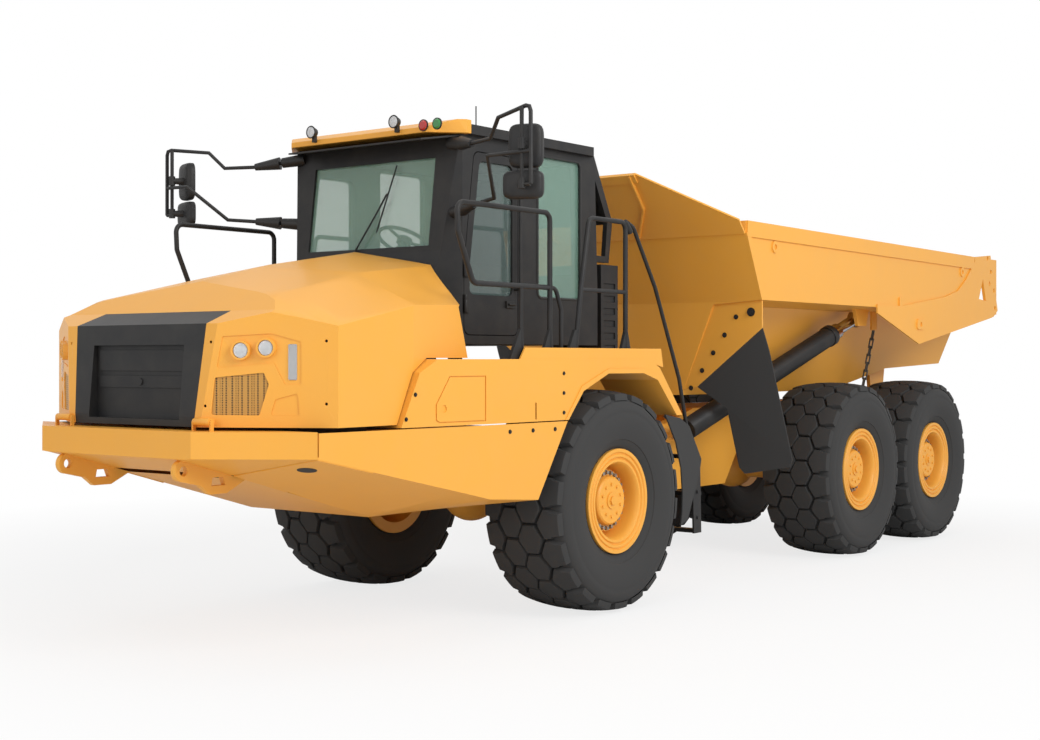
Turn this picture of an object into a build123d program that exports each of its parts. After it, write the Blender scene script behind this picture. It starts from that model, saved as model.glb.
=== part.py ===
from build123d import *
from math import pi
import os

# An articulated dump truck with six driven wheels.
# Every piece is drawn in millimetres from the point on the ground under the front axle:
# X runs forward, Y to the left and Z up. The last step moves all of them along X, so that
# the frame's origin is on the ground at the middle of the whole machine.

# Wheels and axles
tyre_diameter = 1617.0
tyre_width = 710.0
tread_width = 640.0
tread_crown = 30.0
tread_rib = 150.0
tread_pitches = 22
lug_share = 0.66
groove_depth = 44.0
rim_seat_diameter = 635.0
rim_width = 600.0
flange_diameter = 760.0
flange_thickness = 26.0
rim_wall = 22.0
dish_depth = 190.0
dish_thickness = 40.0
dish_diameter = 540.0
bolt_ring_diameter = 450.0
bolt_ring_depth = 112.0
bolt_ring_notches = 24
notch_radius = 9.0
hub_diameter = 350.0
hub_depth = 62.0
hub_wall = 25.0
track = 2170.0
wheelbase = 4060.0
bogie_spacing = 1700.0
spindle_diameter = 150.0
axle_tube_diameter = 250.0
drum_diameter = 420.0
drum_length = 130.0
differential_diameter = 460.0
differential_nose = 330.0
flange_plate_diameter = 290.0
flange_plate_width = 40.0
spring_block_length = 220.0

# Clearances
seat_gap = 0.3
running_gap = 5.0
panel_gap = 8.0
arch_clearance = 128.0

# Bumper, belly and skirts
bumper_front = 3408.0
bumper_nose_width = 1420.0
wing_x = 2980.0
wing_width = 2620.0
body_width = 2800.0
bend_x = 1510.0
bend_height = 930.0
bumper_top = 1417.0
bumper_bottom = 1260.0
bumper_wall = 20.0
keel_width = 1140.0
keel_knee_x = 1770.0
keel_height = 785.0
skirt_bottom = 890.0
skirt_rear_x = 990.0
skirt_top = 1410.0
skirt_wall = 15.0
arch_front_x = 650.0
joint_slot = 10.0
drain_x = 2847.0
drain_y = 1082.0
drain_radius = 60.0
tow_eye_y = 553.0
tow_eye_radius = 65.0
tow_eye_bore = 60.0
tow_eye_z = 1181.0
tow_plate_thickness = 40.0
tow_plate_length = 520.0

# Fenders and deck
deck_rise = 93.0
fender_wall = 18.0
fender_inner_y = 875.0
arch_flat_x = 159.0
arch_shoulder_x = 469.0
arch_flat_rear_x = -300.0
fender_rear_x = -534.0
fender_tip_x = -855.0
fender_tip_z = 1410.0
fender_front_x = 2310.0
fender_knee_x = 2150.0
fender_front_top_x = 1990.0
lip_width = 34.0
lip_height = 8.0
toe_board_height = 78.0
toe_board_wall = 12.0
toe_board_front_x = 1129.0
hatch_front_x = 2012.0
hatch_rear_x = 1547.0
hatch_low_z = 1438.0
hatch_height = 293.0
hatch_groove = 7.0
hatch_groove_depth = 8.0
slot_x = 1015.0

# Hood
hood_front_x = 3260.0
hood_floor = 1437.0
hood_wall = 14.0
hood_nose_width = 1264.0
hood_seam_x = 2835.0
hood_width = 2666.0
hood_rear_width = 2360.0
hood_hinge_x = 3275.0
hood_hinge_z = 1470.0
hood_hinge_radius = 22.0
hood_hinge_y = 660.0
hood_knuckle_length = 140.0
hood_pin_radius = 10.0
hood_brow_x = 3209.0
hood_brow_rise = 211.0
hood_peak_x = 3001.0
hood_peak_rise = 292.0
surround_half_top = 618.0
surround_half_foot = 567.0
surround_wall = 30.0
grille_width = 862.0
grille_top = 1924.0
grille_bottom = 1475.0
grille_depth = 70.0
grille_door_wall = 24.0
grille_band_depth = 10.0
panel_bolt_radius = 9.0
pod_recess = 6.0
lamp_radius = 46.0
lamp_bezel_radius = 57.0
lamp_bezel_reach = 26.0
mesh_thickness = 6.0
mesh_depth = 8.0

# Cab, with heights above its own floor
cab_lift = 107.0
cab_height = 1455.0
cab_half_width = 810.0
cab_front_x = 1250.0
cab_rear_x = -560.0
cab_wall = 45.0
cab_nose_half_width = 650.0
cab_shoulder_x = 1080.0
cab_waist = 645.0
cab_corner = 60.0
window_corner = 45.0
screen_base_x = 1190.0
screen_top_x = 1090.0
screen_head = 1305.0
glass_thickness = 8.0
glass_depth = 18.0
door_front_x = 1060.0
door_rear_x = 455.0
door_sill = 65.0
door_head = 1345.0
door_gap = 6.0
door_frame = 60.0
door_lean = 110.0
door_glass_foot = 345.0
door_hinge_outset = 15.0
door_hinge_radius = 14.0
door_pin_radius = 8.0
door_barrel_length = 90.0
rear_glass_front_x = 215.0
rear_glass_rear_x = -330.0
glass_head = 1395.0
back_glass_width = 1200.0
back_glass_foot = 555.0
cab_rear_lean = 40.0
cab_rear_knee = 445.0
cab_mount_radius = 60.0
roof_thickness = 95.0
roof_half_width = 860.0
roof_front_x = 1290.0
roof_split_x = 1040.0
roof_rear_x = -480.0
roof_corner = 200.0
visor_reach = 60.0
visor_drop = 55.0
visor_thickness = 12.0
work_lamp_radius = 42.0
beacon_radius = 30.0
antenna_x = -60.0
antenna_rise = 1875.0
antenna_radius = 5.0
guard_tip_x = -860.0
guard_tip_rise = 985.0
guard_foot_rise = 655.0
guard_half_width = 745.0
guard_plate = 40.0

# Frames and joints
rail_y = 400.0
rail_width = 90.0
front_rail_bottom = 960.0
front_rail_top = 1300.0
front_rail_rear_x = -420.0
front_rail_knee_x = 2100.0
front_rail_nose_z = 1330.0
front_rail_nose_top = 1385.0
pivot_x = -1350.0
pivot_pin_radius = 60.0
pivot_boss_radius = 160.0
pivot_plate_thickness = 50.0
pivot_plate_low = 640.0
pivot_plate_high = 1230.0
roll_axis_z = 950.0
roll_tube_radius = 160.0
roll_ring_radius = 265.0
roll_ring_front_x = -1600.0
roll_tube_end_x = -2000.0
rear_box_front_x = -2010.0
rear_rail_end_x = -6470.0
rear_rail_top = 1400.0
rear_rail_bottom = 690.0
rear_rail_rise = 1010.0
rear_step_x = -3150.0
rear_step_run = 250.0
rear_shoulder_x = -2600.0
rear_nose_top = 1250.0
cross_tube_height = 260.0
bed_pivot_x = -6350.0
bed_pivot_z = 1350.0
bed_pin_radius = 55.0
bed_hinge_plate = 40.0

# Steering cylinders, from the pivot
steer_front = 850.0
steer_front_y = 330.0
steer_rear = 150.0
steer_rear_y = 330.0
steer_barrel_length = 640.0
steer_rod_length = 640.0
steer_z = 950.0
steer_eye_height = 64.0
steer_eye_radius = 60.0
hitch_column_radius = 130.0
steer_barrel_radius = 62.0
steer_rod_radius = 32.0
steer_pin_radius = 30.0

# Hoist cylinders
hoist_base_x = -1950.0
hoist_base_y = 720.0
hoist_base_z = 1210.0
hoist_eye_x = -4450.0
hoist_eye_inset = 315.0
hoist_eye_z = 2218.0
hoist_barrel_radius = 92.0
hoist_collar_radius = 100.0
hoist_stage_radius = 74.0
hoist_rod_radius = 52.0
hoist_pin_radius = 32.0
hoist_eye_radius = 74.0
hoist_ball_radius = 58.0
hoist_eye_width = 70.0

# Dump body
bed_half_width = 1435.0
bed_wall = 16.0
bed_rail_reach = 15.0
bed_rail_depth = 130.0
bed_rail_width = 90.0
bed_front_x = -1790.0
bed_front_z = 2970.0
bed_rail_rear_z = 2930.0
bed_rail_rear_x = -6700.0
bed_side_bottom = 2330.0
bed_shelf_inset = 455.0
bed_shelf_drop = 30.0
bed_floor_half_width = 660.0
bed_floor_z = 1530.0
bed_fold_x = -2030.0
bed_fold_z = 2320.0
bed_floor_rise_x = -4900.0
bed_floor_rear_z = 1740.0
bed_floor_rear_x = -6000.0
bed_tail_x = -7380.0
bed_tail_z = 1790.0
spill_top_x = -1320.0
spill_top_z = 3370.0
spill_half_width = 660.0
spill_flange = 60.0
front_rib_y = 430.0
rib_reach = 45.0
corner_strip_width = 45.0
corner_strip_reach = 14.0
ear_thickness = 25.0
boss_radius = 50.0
boss_bore = 24.0
boss_reach = 14.0
flap_thickness = 14.0
flap_top_z = 2100.0
flap_lean_z = 0.43
flap_lean_y = 0.34

# Chains under the body
chain_x = -4940.0
chain_top_y = 1100.0
chain_top_z = 2127.0
chain_foot_y = 977.0
chain_foot_z = 1520.0
link_length = 104.0
link_width = 46.0
link_bar = 12.0
chain_links = 8

# Mirrors, rails and steps
mirror_y = 1700.0
mirror_x = 1557.0
mirror_top_rise = 1525.0
mirror_high_rise = 1495.0
mirror_low_rise = 815.0
mirror_foot_rise = 555.0
mirror_arm_length = 160.0
mirror_bend = 50.0
tall_mirror_height = 480.0
small_mirror_height = 180.0
mirror_width = 150.0
mirror_shell_depth = 70.0
rail_tube_radius = 18.0
post_radius = 15.0
rail_inset = 40.0
rail_rise = 1002.0
rail_middle_rise = 490.0
rail_bend = 60.0
blade_height = 205.0
blade_thickness = 24.0
ladder_inner_y = 970.0
ladder_wall = 15.0
step_depth = 150.0
step_thickness = 30.0

# Power unit and air cleaner
engine_length = 1080.0
engine_width = 640.0
engine_height = 1150.0
engine_front_x = 2600.0
engine_floor = 1060.0
radiator_x = 2860.0
radiator_depth = 180.0
radiator_width = 1120.0
radiator_top = 2000.0
filter_front_x = -625.0
filter_rear_x = -860.0
filter_inner_y = 300.0
filter_outer_y = 800.0
filter_rise = 740.0

# Values that follow from the driving sizes
tyre_radius = tyre_diameter / 2
wheel_y = track / 2
hub_z = tyre_radius
half_body = body_width / 2
half_wing = wing_width / 2
half_rail = rail_width / 2
middle_axle_x = -wheelbase
rear_axle_x = -wheelbase - bogie_spacing
front_axle_x = (-bed_tail_x - bumper_front) / 2
arch_height = tyre_diameter + arch_clearance
deck_height = arch_height + deck_rise
cab_floor = deck_height + cab_lift
cab_roof_z = cab_floor + cab_height
cab_waist_z = cab_floor + cab_waist
rail_line_y = half_body - rail_inset
bed_rail_half_width = bed_half_width + bed_rail_reach
bed_shelf_y = bed_half_width - bed_shelf_inset
hoist_eye_y = bed_half_width - hoist_eye_inset
keel_slope = (bumper_bottom - keel_height) / (bumper_front - keel_knee_x)


def side_plate(outline, y_low, y_high, corner=0.0):
    """A side outline of (x, z) points, from one y to another, with rounded corners if asked."""
    face = make_face(Polyline([(x, y_low, z) for x, z in outline], close=True))
    if corner:
        face = fillet(face.vertices(), corner)
    return extrude(face, amount=y_high - y_low, dir=(0, 1, 0))


def plan_plate(outline, z_low, z_high):
    """A plan outline of (x, y) points, from one z to another."""
    face = make_face(Polyline([(x, y, z_low) for x, y in outline], close=True))
    return extrude(face, amount=z_high - z_low, dir=(0, 0, 1))


def cross_plate(outline, x_low, x_high):
    """A cross-section outline of (y, z) points, from one x to another."""
    face = make_face(Polyline([(x_low, y, z) for y, z in outline], close=True))
    return extrude(face, amount=x_high - x_low, dir=(1, 0, 0))


def sheet(points, thickness, direction):
    """A flat plate through points in space, thickened along a direction."""
    face = make_face(Polyline(points, close=True))
    return extrude(face, amount=thickness, dir=direction)


def box(low, high):
    """A box from its low corner to its high corner."""
    size = [b - a for a, b in zip(low, high)]
    middle = [(a + b) / 2 for a, b in zip(low, high)]
    return Pos(*middle) * Box(*size)


def bar(start, end, radius):
    """A round bar from one point to another."""
    start, end = Vector(start), Vector(end)
    run = end - start
    plane = Plane(origin=start, z_dir=run)
    return extrude(plane * Circle(radius), amount=run.length)


def pipe(points, radius, bend):
    """A round tube's outer shape along straight runs with round bends."""
    path = FilletPolyline(*points, radius=bend)
    return sweep(Plane(origin=path @ 0, z_dir=path % 0) * Circle(radius), path=path)


def cross_bar(x, z, radius, y_low, y_high):
    """A round bar that lies across the machine."""
    return bar((x, y_low, z), (x, y_high, z), radius)


def mirrored(shape):
    """The same shape on the right side."""
    return mirror(shape, about=Plane.XZ)


def both(shape):
    """A left piece and its right twin."""
    return shape + mirrored(shape)


def turned(section):
    """A wheel section of (y, radius) points, turned about the wheel's own axis."""
    face = make_face(Polyline([(0, y, r) for y, r in section], close=True))
    return revolve(face, Axis.Y)


def save(name, shape):
    """Move a piece from the front axle to the machine's own frame and write it."""
    os.makedirs("parts", exist_ok=True)
    export_step(shape.moved(Location((front_axle_x, 0, 0))), f"parts/{name}.step")


# Wheels

def tread_ring(y, radius):
    """A regular polygon about the wheel's axis, with one flat for each pitch of the tread."""
    plane = Plane(origin=(0, y, 0), x_dir=(0, 0, 1), z_dir=(0, 1, 0))
    flat = plane * RegularPolygon(radius, tread_pitches, major_radius=False)
    return flat.rotate(Axis((0, 0, 0), (0, 1, 0)), 180 / tread_pitches)


def carcass():
    """The tyre without its shoulder lugs, in flats that carry one lug on each shoulder."""
    lip, half, tread = flange_diameter / 2, tyre_width / 2, tread_width / 2
    bead = rim_width / 2 - flange_thickness - seat_gap
    root = tyre_radius - tread_crown - groove_depth
    # Columns: distance from the wheel's middle plane, radius
    outer_half = [(bead, lip), (half - 40, lip + 60), (half, (lip + tyre_radius) / 2), (tread, root),
                  (tread_rib / 2, tyre_radius)]
    stations = outer_half + [(-y, r) for y, r in reversed(outer_half)]
    body = loft([tread_ring(y, r) for y, r in stations], ruled=True)
    seat = rim_seat_diameter / 2 + seat_gap
    bore = extrude(tread_ring(-half, seat), amount=tyre_width)
    return body - bore


def shoulder_lug():
    """One wedge-shaped lug on the outer shoulder, at the top of the wheel."""
    tread, tip = tread_width / 2, tyre_radius - tread_crown
    pitch = 2 * pi * tyre_radius / tread_pitches
    half_length = pitch * lug_share / 2
    sunk = groove_depth / 2
    profile = [(tread_rib / 2, tyre_radius), (tread, tip), (tread, tip - groove_depth - sunk),
               (tread_rib / 2, tyre_radius - sunk)]
    return cross_plate(profile, -half_length, half_length)


def tyre():
    """One tyre about the origin, solid to the tips of its lugs, with its bore for the rim."""
    left = shoulder_lug()
    lugs = []
    for turn in range(tread_pitches):
        for lug in (left, mirrored(left)):
            lugs.append(lug.rotate(Axis.Y, 360 * turn / tread_pitches))
    return carcass() + lugs


def rim():
    """One rim about the origin: barrel, flanges, lock ring, deep dish, notched ring and hub cover."""
    seat, edge, lip = rim_seat_diameter / 2, rim_width / 2, flange_diameter / 2
    inner, dish, ring = seat - rim_wall, dish_diameter / 2, bolt_ring_diameter / 2
    disc, ring_face, cover = edge - dish_depth, edge - bolt_ring_depth, edge - hub_depth
    bore, hub = spindle_diameter / 2 + seat_gap, hub_diameter / 2
    barrel = [(-edge, inner), (-edge, lip), (-edge + flange_thickness, lip),
              (-edge + flange_thickness, seat),
              (edge - flange_thickness, seat), (edge - flange_thickness, lip), (edge, lip)]
    lock_ring = [(edge, lip - 24), (edge - 14, lip - 30), (edge - 14, lip - 36), (edge - 3, lip - 42),
                 (edge - 3, seat + 4), (edge - 20, seat - 2), (edge - 20, seat - 10), (edge - 8, seat - 16),
                 (edge - 8, seat - 32), (edge - 36, dish)]
    hub_front = [(disc + 18, dish - 12), (disc, dish - 34), (disc, ring), (ring_face, ring),
                 (ring_face, hub + 8), (cover - 12, hub), (cover, hub - 12), (cover, 0)]
    back = [(cover - hub_wall, 0), (cover - hub_wall, bore), (disc - dish_thickness, bore),
            (disc - dish_thickness, inner)]
    wheel = turned(barrel + lock_ring + hub_front + back)
    notch = bar((0, disc + 1, ring), (0, ring_face + 1, ring), notch_radius)
    notches = [notch.rotate(Axis.Y, 360 * (k + 0.5) / bolt_ring_notches) for k in range(bolt_ring_notches)]
    return wheel - notches


def placed(shape, x, side):
    """A wheel piece drawn about the origin, set at its axle end with its open side outwards."""
    outward = shape if side > 0 else mirrored(shape)
    return Pos(x, side * wheel_y, hub_z) * outward


def axle(x):
    """A drive axle: tube, differential with its bolted flange, drums and the rims' spindles."""
    disc = wheel_y + rim_width / 2 - dish_depth
    face = disc - dish_thickness - running_gap
    cover = wheel_y + rim_width / 2 - hub_depth - hub_wall - running_gap
    beam = cross_bar(x, hub_z, axle_tube_diameter / 2, -face, face)
    beam += Pos(x, 0, hub_z) * Sphere(differential_diameter / 2)
    beam += bar((x, 0, hub_z), (x - differential_nose, 0, hub_z), flange_plate_diameter / 2 - 40)
    beam += bar((x - differential_nose, 0, hub_z), (x - differential_nose + flange_plate_width, 0, hub_z),
                flange_plate_diameter / 2)
    beam += both(cross_bar(x, hub_z, drum_diameter / 2, face - drum_length, face))
    beam += both(cross_bar(x, hub_z, spindle_diameter / 2, face, cover))
    return beam


def front_axle():
    """The front axle with the two spring blocks that carry the rails."""
    reach = spring_block_length / 2
    block = box((-reach, rail_y - half_rail, hub_z),
                (reach, rail_y + half_rail, front_rail_bottom - seat_gap))
    return axle(0.0) + both(block)


# Front module

def side_half(x):
    """Half the body's width at the skirts, which narrows from the bend to the wing's tip."""
    if x <= bend_x:
        return half_body
    return half_body - (x - bend_x) * (half_body - half_wing) / (wing_x - bend_x)


def keel_at(x):
    """The height of the belly's middle, which falls from the nose to its knee."""
    return max(keel_height, bumper_bottom - (bumper_front - x) * keel_slope)


def hull_section(x, half, low, keel_half, keel, top, inset):
    """One cross-section of the bumper and belly, smaller by an inset."""
    points = [(half - inset, top), (half - inset, low + inset / 2), (keel_half - inset / 2, keel + inset)]
    points += [(-y, z) for y, z in reversed(points)]
    return make_face(Polyline([(x, y, z) for y, z in points], close=True))


def nose_block(inset):
    """The bumper's block from its nose to the wings' tips, smaller by an inset."""
    top, keel_half = bumper_top - inset, keel_width / 2
    tip = wing_x + (seat_gap if inset == 0 else -bumper_wall)
    front = hull_section(bumper_front - inset, bumper_nose_width / 2 - inset / 2, bumper_bottom,
                         keel_half + 80,
                         bumper_bottom - 4, top, inset)
    rear = hull_section(tip, side_half(wing_x) - (inset / 2), bumper_bottom, keel_half + 20,
                        keel_at(wing_x), top, inset)
    return loft([front, rear], ruled=True)


def belly_block(inset):
    """The belly's block from the wings' tips to the wheel arches, smaller by an inset."""
    reach = 60 if inset else 0
    top, keel_half = skirt_top + reach, keel_width / 2
    # Columns: x, half width, lower edge of the side, half the keel's width, height of the keel
    stations = [
        (wing_x + reach, side_half(wing_x), bumper_bottom, keel_half + 20, keel_at(wing_x)),
        (keel_knee_x, side_half(keel_knee_x), bend_height + 60, keel_half, keel_at(keel_knee_x)),
        (bend_x, half_body, bend_height, keel_half, keel_height),
        (skirt_rear_x, half_body, skirt_bottom, keel_half, keel_height),
        (arch_front_x - reach * 2, half_body, skirt_bottom, keel_half, keel_height),
    ]
    return loft([hull_section(*row, top, inset) for row in stations], ruled=True)


def belly_and_skirts():
    """The side skirts below the deck and the guard under the engine, one bent shell."""
    shell = belly_block(0) - belly_block(skirt_wall)
    arch = side_plate([(arch_front_x, skirt_top + 1), (skirt_rear_x, skirt_bottom),
                       (skirt_rear_x, keel_height - 50), (arch_front_x - 200, keel_height - 50),
                       (arch_front_x - 200, skirt_top + 1)], -half_body - 1, half_body + 1)
    shell -= arch
    slot = box((wing_x - joint_slot, half_wing - 60, bumper_bottom + 12),
               (wing_x + 1, half_body, skirt_top + 1))
    drain = bar((drain_x, drain_y, keel_height), (drain_x, drain_y, skirt_top), drain_radius)
    return shell - both(slot) - both(drain)


def tow_plate():
    """A plate under the bumper with a round tow eye and a slot."""
    eye_x = bumper_front - tow_eye_radius - seat_gap
    outline = [
        (eye_x, tow_eye_z - tow_eye_radius), (eye_x - 130, tow_eye_z - 95), (eye_x - 200, tow_eye_z - 150),
        (eye_x - 330, tow_eye_z - 150), (eye_x - tow_plate_length, tow_eye_z - 60),
        (eye_x - tow_plate_length, bumper_bottom), (eye_x, bumper_bottom + 40),
    ]
    y = tow_eye_y - tow_plate_thickness / 2
    plate = side_plate(outline, y, y + tow_plate_thickness)
    plate += cross_bar(eye_x, tow_eye_z, tow_eye_radius, y, y + tow_plate_thickness)
    plate -= cross_bar(eye_x, tow_eye_z, tow_eye_bore / 2, y - 1, y + tow_plate_thickness + 1)
    slot = side_plate([(eye_x - 210, tow_eye_z - 100), (eye_x - 320, tow_eye_z - 100),
                       (eye_x - 300, tow_eye_z - 50), (eye_x - 220, tow_eye_z - 50)],
                      y - 1, y + tow_plate_thickness + 1)
    return plate - slot


def bumper():
    """The front bumper with its two wings, the tow plates under it and the hood's hinge ears."""
    belly = Pos(0, 0, -seat_gap) * belly_block(0)
    plates = both(tow_plate() - belly - box((0, 0, 0), (wing_x + seat_gap, half_body, bumper_top)))
    rear_plates = both((tow_plate() & box((0, 0, 0), (wing_x + seat_gap, half_body, bumper_top))) - belly)
    return nose_block(0) - nose_block(bumper_wall) + plates + rear_plates + hood_ears()


def front_edge(gap):
    """The slanted front of the fender as (x, z) points, moved forward by a gap."""
    knee_z = deck_height - 85
    return [(fender_front_x + gap, skirt_top + panel_gap), (fender_knee_x + gap, knee_z + gap / 2),
            (fender_front_top_x + gap / 2, deck_height + gap)]


def arch_edge(inset):
    """The wheel arch's edge as (x, z) points from front to rear, moved up by an inset."""
    crown = arch_height - 10 + inset
    return [(arch_front_x + inset, skirt_top + panel_gap), (arch_shoulder_x + inset / 2, crown - 120),
            (arch_flat_x, crown), (arch_flat_rear_x, crown), (fender_rear_x + 42, crown - 53),
            (fender_tip_x + 94 - inset, fender_tip_z)]


def fender_outline(inset):
    """The fender's side outline above the wheel arch, smaller by an inset."""
    front = [(x - inset, z - (inset if z > deck_height - 1 else 0)) for x, z in front_edge(0)]
    rear = [(arch_flat_rear_x - 95, deck_height - inset), (fender_rear_x, deck_height - 67 - inset),
            (fender_tip_x + inset * 1.3, fender_tip_z)]
    return front + rear + list(reversed(arch_edge(inset)))


def fender_plan(inset):
    """The fender's plan outline, which follows the skirt's taper."""
    front, rear = fender_front_x + 50, fender_tip_x - 50
    return [(front, fender_inner_y - 1), (front, side_half(front) - inset), (bend_x, half_body - inset),
            (rear, half_body - inset), (rear, fender_inner_y - 1)]


def hatch_frame():
    """The groove round the battery hatch and its finger latch, cut in the fender's side."""
    low, high = hatch_low_z, hatch_low_z + hatch_height
    outer = [(hatch_front_x, low + 15), (hatch_front_x - 30, low), (hatch_rear_x, low), (hatch_rear_x, high),
             (hatch_front_x - 125, high), (hatch_front_x, low + 115)]
    middle_x, middle_z = (hatch_front_x + hatch_rear_x) / 2, (low + high) / 2
    shrink = 1 - 2 * hatch_groove / hatch_height
    inner = [(middle_x + (x - middle_x) * shrink, middle_z + (z - middle_z) * shrink) for x, z in outer]
    reach = (half_wing - 60, half_body + 1)
    ring = side_plate(outer, *reach) - side_plate(inner, *reach)
    depth = plan_plate(fender_plan(hatch_groove_depth), hatch_low_z - 100, deck_height)
    latch = cross_bar(hatch_front_x - 77, low + 88, 24, half_body - 60, half_body)
    return (ring + latch) - depth


def fender():
    """The left fender: deck, outer side, wheel arch with its lip and toe board, open to the inside."""
    shell = side_plate(fender_outline(0), fender_inner_y, half_body)
    shell -= side_plate(fender_outline(fender_wall), fender_inner_y - 1, half_body - fender_wall)
    outer = plan_plate(fender_plan(0), 0, cab_roof_z)
    inner = plan_plate(fender_plan(fender_wall), 0, cab_roof_z)
    side = (side_plate(fender_outline(0), half_wing - 60, half_body) & outer) - inner
    shell = (shell & outer) + side - hatch_frame()
    lip = side_plate(arch_edge(0) + list(reversed(arch_edge(lip_width))), half_body - 1,
                     half_body + lip_height)
    top = deck_height + toe_board_height
    y = half_body - 3
    toe = side_plate([(toe_board_front_x + 60, deck_height - 5), (toe_board_front_x, top),
                      (fender_rear_x - 20, top),
                      (fender_rear_x - 50, deck_height - 60), (arch_flat_rear_x, deck_height - 5)],
                     y - toe_board_wall, y)
    slot = box((slot_x - 8, half_body - 30, skirt_top + 22), (slot_x + 8, half_body + 1, skirt_top + 135))
    return shell + lip + toe - slot


def fenders():
    """Both fenders and the deck plate under the cab that ties them together."""
    deck = box((cab_rear_x - 60, -fender_inner_y, deck_height - fender_wall),
               (cab_front_x, fender_inner_y, deck_height))
    deck += box((filter_rear_x, filter_inner_y, deck_height - fender_wall),
                (cab_rear_x - 60, fender_inner_y, deck_height))
    return both(fender()) + deck


# Columns: x, half width, rise of the side's top edge above the deck, half width of the crown,
# rise of the crown
hood_sections = [
    (3300.0, 1345.0, 75.0, 900.0, 292.0),
    (2835.0, 1333.0, 194.0, 850.0, 470.0),
    (2140.0, 1308.0, 332.0, 800.0, 632.0),
    (1250.0, 1160.0, 352.0, 760.0, 772.0),
]
# Columns: x, rise above the deck, along the hood's rear edge from its foot up
hood_rear_edge = [(1470.0, 8.0), (1590.0, 339.0), (1507.0, 434.0), (1404.0, 588.0), (1330.0, 686.0)]


def hood_section(x, half_width, side_rise, crown_half_width, crown_rise, inset, floor):
    """One closed cross-section of the hood."""
    side_top, crown = deck_height + side_rise, deck_height + crown_rise
    half, top = half_width - inset, side_top - inset / 2
    knee_z = side_top + (crown - side_top) * 0.72 - inset
    points = [(half, floor), (half, top), (crown_half_width - inset / 3, knee_z), (0, crown - inset)]
    points += [(-y, z) for y, z in reversed(points[:-1])]
    return make_face(Polyline([(x, y, z) for y, z in points], close=True))


def hood_plan(inset):
    """The hood's left plan outline as (x, y) points from the nose to the rear."""
    return [(hood_front_x - inset, hood_nose_width / 2 - inset / 2),
            (hood_seam_x - inset, hood_width / 2 - inset),
            (fender_knee_x, hood_width / 2 - 25 - inset),
            (hood_rear_edge[0][0], hood_rear_width / 2 - inset)]


def hood_solid(inset, floor):
    """The hood's whole form, smaller by an inset, cut to its plan and side outlines."""
    body = loft([hood_section(*row, inset, floor) for row in hood_sections], ruled=True)
    left = hood_plan(inset)
    rear = hood_sections[-1][0] - 20
    left.append((rear, left[-1][1] - 20))
    plan = plan_plate(left + [(x, -y) for x, y in reversed(left)], floor, cab_roof_z)
    brow, peak = deck_height + hood_brow_rise, deck_height + hood_peak_rise
    top, down = deck_height + 860, inset * 1.2
    seam = [(x, z) for x, z in front_edge(panel_gap)]
    outline = [(hood_front_x - inset, floor), (seam[0][0], floor)] + seam
    outline += [(x, deck_height + rise) for x, rise in hood_rear_edge]
    outline += [(hood_rear_edge[-1][0] - 60, top), (fender_knee_x + 150, top), (2700, peak + 215 - down),
                (hood_peak_x, peak - down), (hood_brow_x - inset / 2, brow - down),
                (hood_front_x - inset, floor + 60)]
    return body & plan & side_plate(outline, -half_body, half_body)


def panel_place(along, z, out=0.0):
    """A point on the left front panel: a distance along it from the nose, a height, and how far out."""
    start = Vector(hood_front_x, hood_nose_width / 2, 0)
    run = (Vector(hood_seam_x, hood_width / 2, 0) - start).normalized()
    normal = Vector(run.Y, -run.X, 0)
    return start + run * along + normal * out + Vector(0, 0, z), normal


def panel_plate(outline, out_low, out_high, corner=0.0):
    """An outline of (distance along, height) points on the left front panel, given a depth."""
    points = [panel_place(along, z, out_low)[0] for along, z in outline]
    face = make_face(Polyline(points, close=True))
    if corner:
        face = fillet(face.vertices(), corner)
    return extrude(face, amount=out_high - out_low, dir=panel_place(0, 0)[1])


def panel_bar(along, z, out_low, out_high, radius):
    """A round bar that stands square on the left front panel."""
    return bar(panel_place(along, z, out_low)[0], panel_place(along, z, out_high)[0], radius)


# Columns: distance along the front panel, height
pod_lamps = [(240.0, 1889.0), (391.0, 1904.0)]
panel_bolts = [(52.0, 1939.0), (22.0, 1563.0), (749.0, 1944.0), (749.0, 1577.0)]
mesh_outline = [(58.0, 1511.0), (81.0, 1730.0), (375.0, 1759.0), (406.0, 1692.0), (349.0, 1509.0)]
tray_outline = [(415.0, 1508.0), (444.0, 1602.0), (580.0, 1639.0), (589.0, 1508.0)]
pod_outline = [(91.0, 1785.0), (126.0, 1972.0), (421.0, 1988.0), (600.0, 1940.0), (600.0, 1690.0),
               (500.0, 1690.0), (436.0, 1815.0)]
slim_lamp = [(520.0, 1715.0), (574.0, 1715.0), (574.0, 1926.0), (520.0, 1926.0)]


def surround_block(gap):
    """The block that the black surround takes out of the hood's nose, smaller by a gap."""
    brow, peak = deck_height + hood_brow_rise, deck_height + hood_peak_rise
    foot, top = surround_half_foot - gap, surround_half_top - gap
    half = [(foot, hood_floor - 1), (top, brow), (top - 18, peak)]
    outline = half + [(-y, z) for y, z in reversed(half)]
    return cross_plate(outline, hood_peak_x + gap, hood_front_x + 100)


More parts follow.
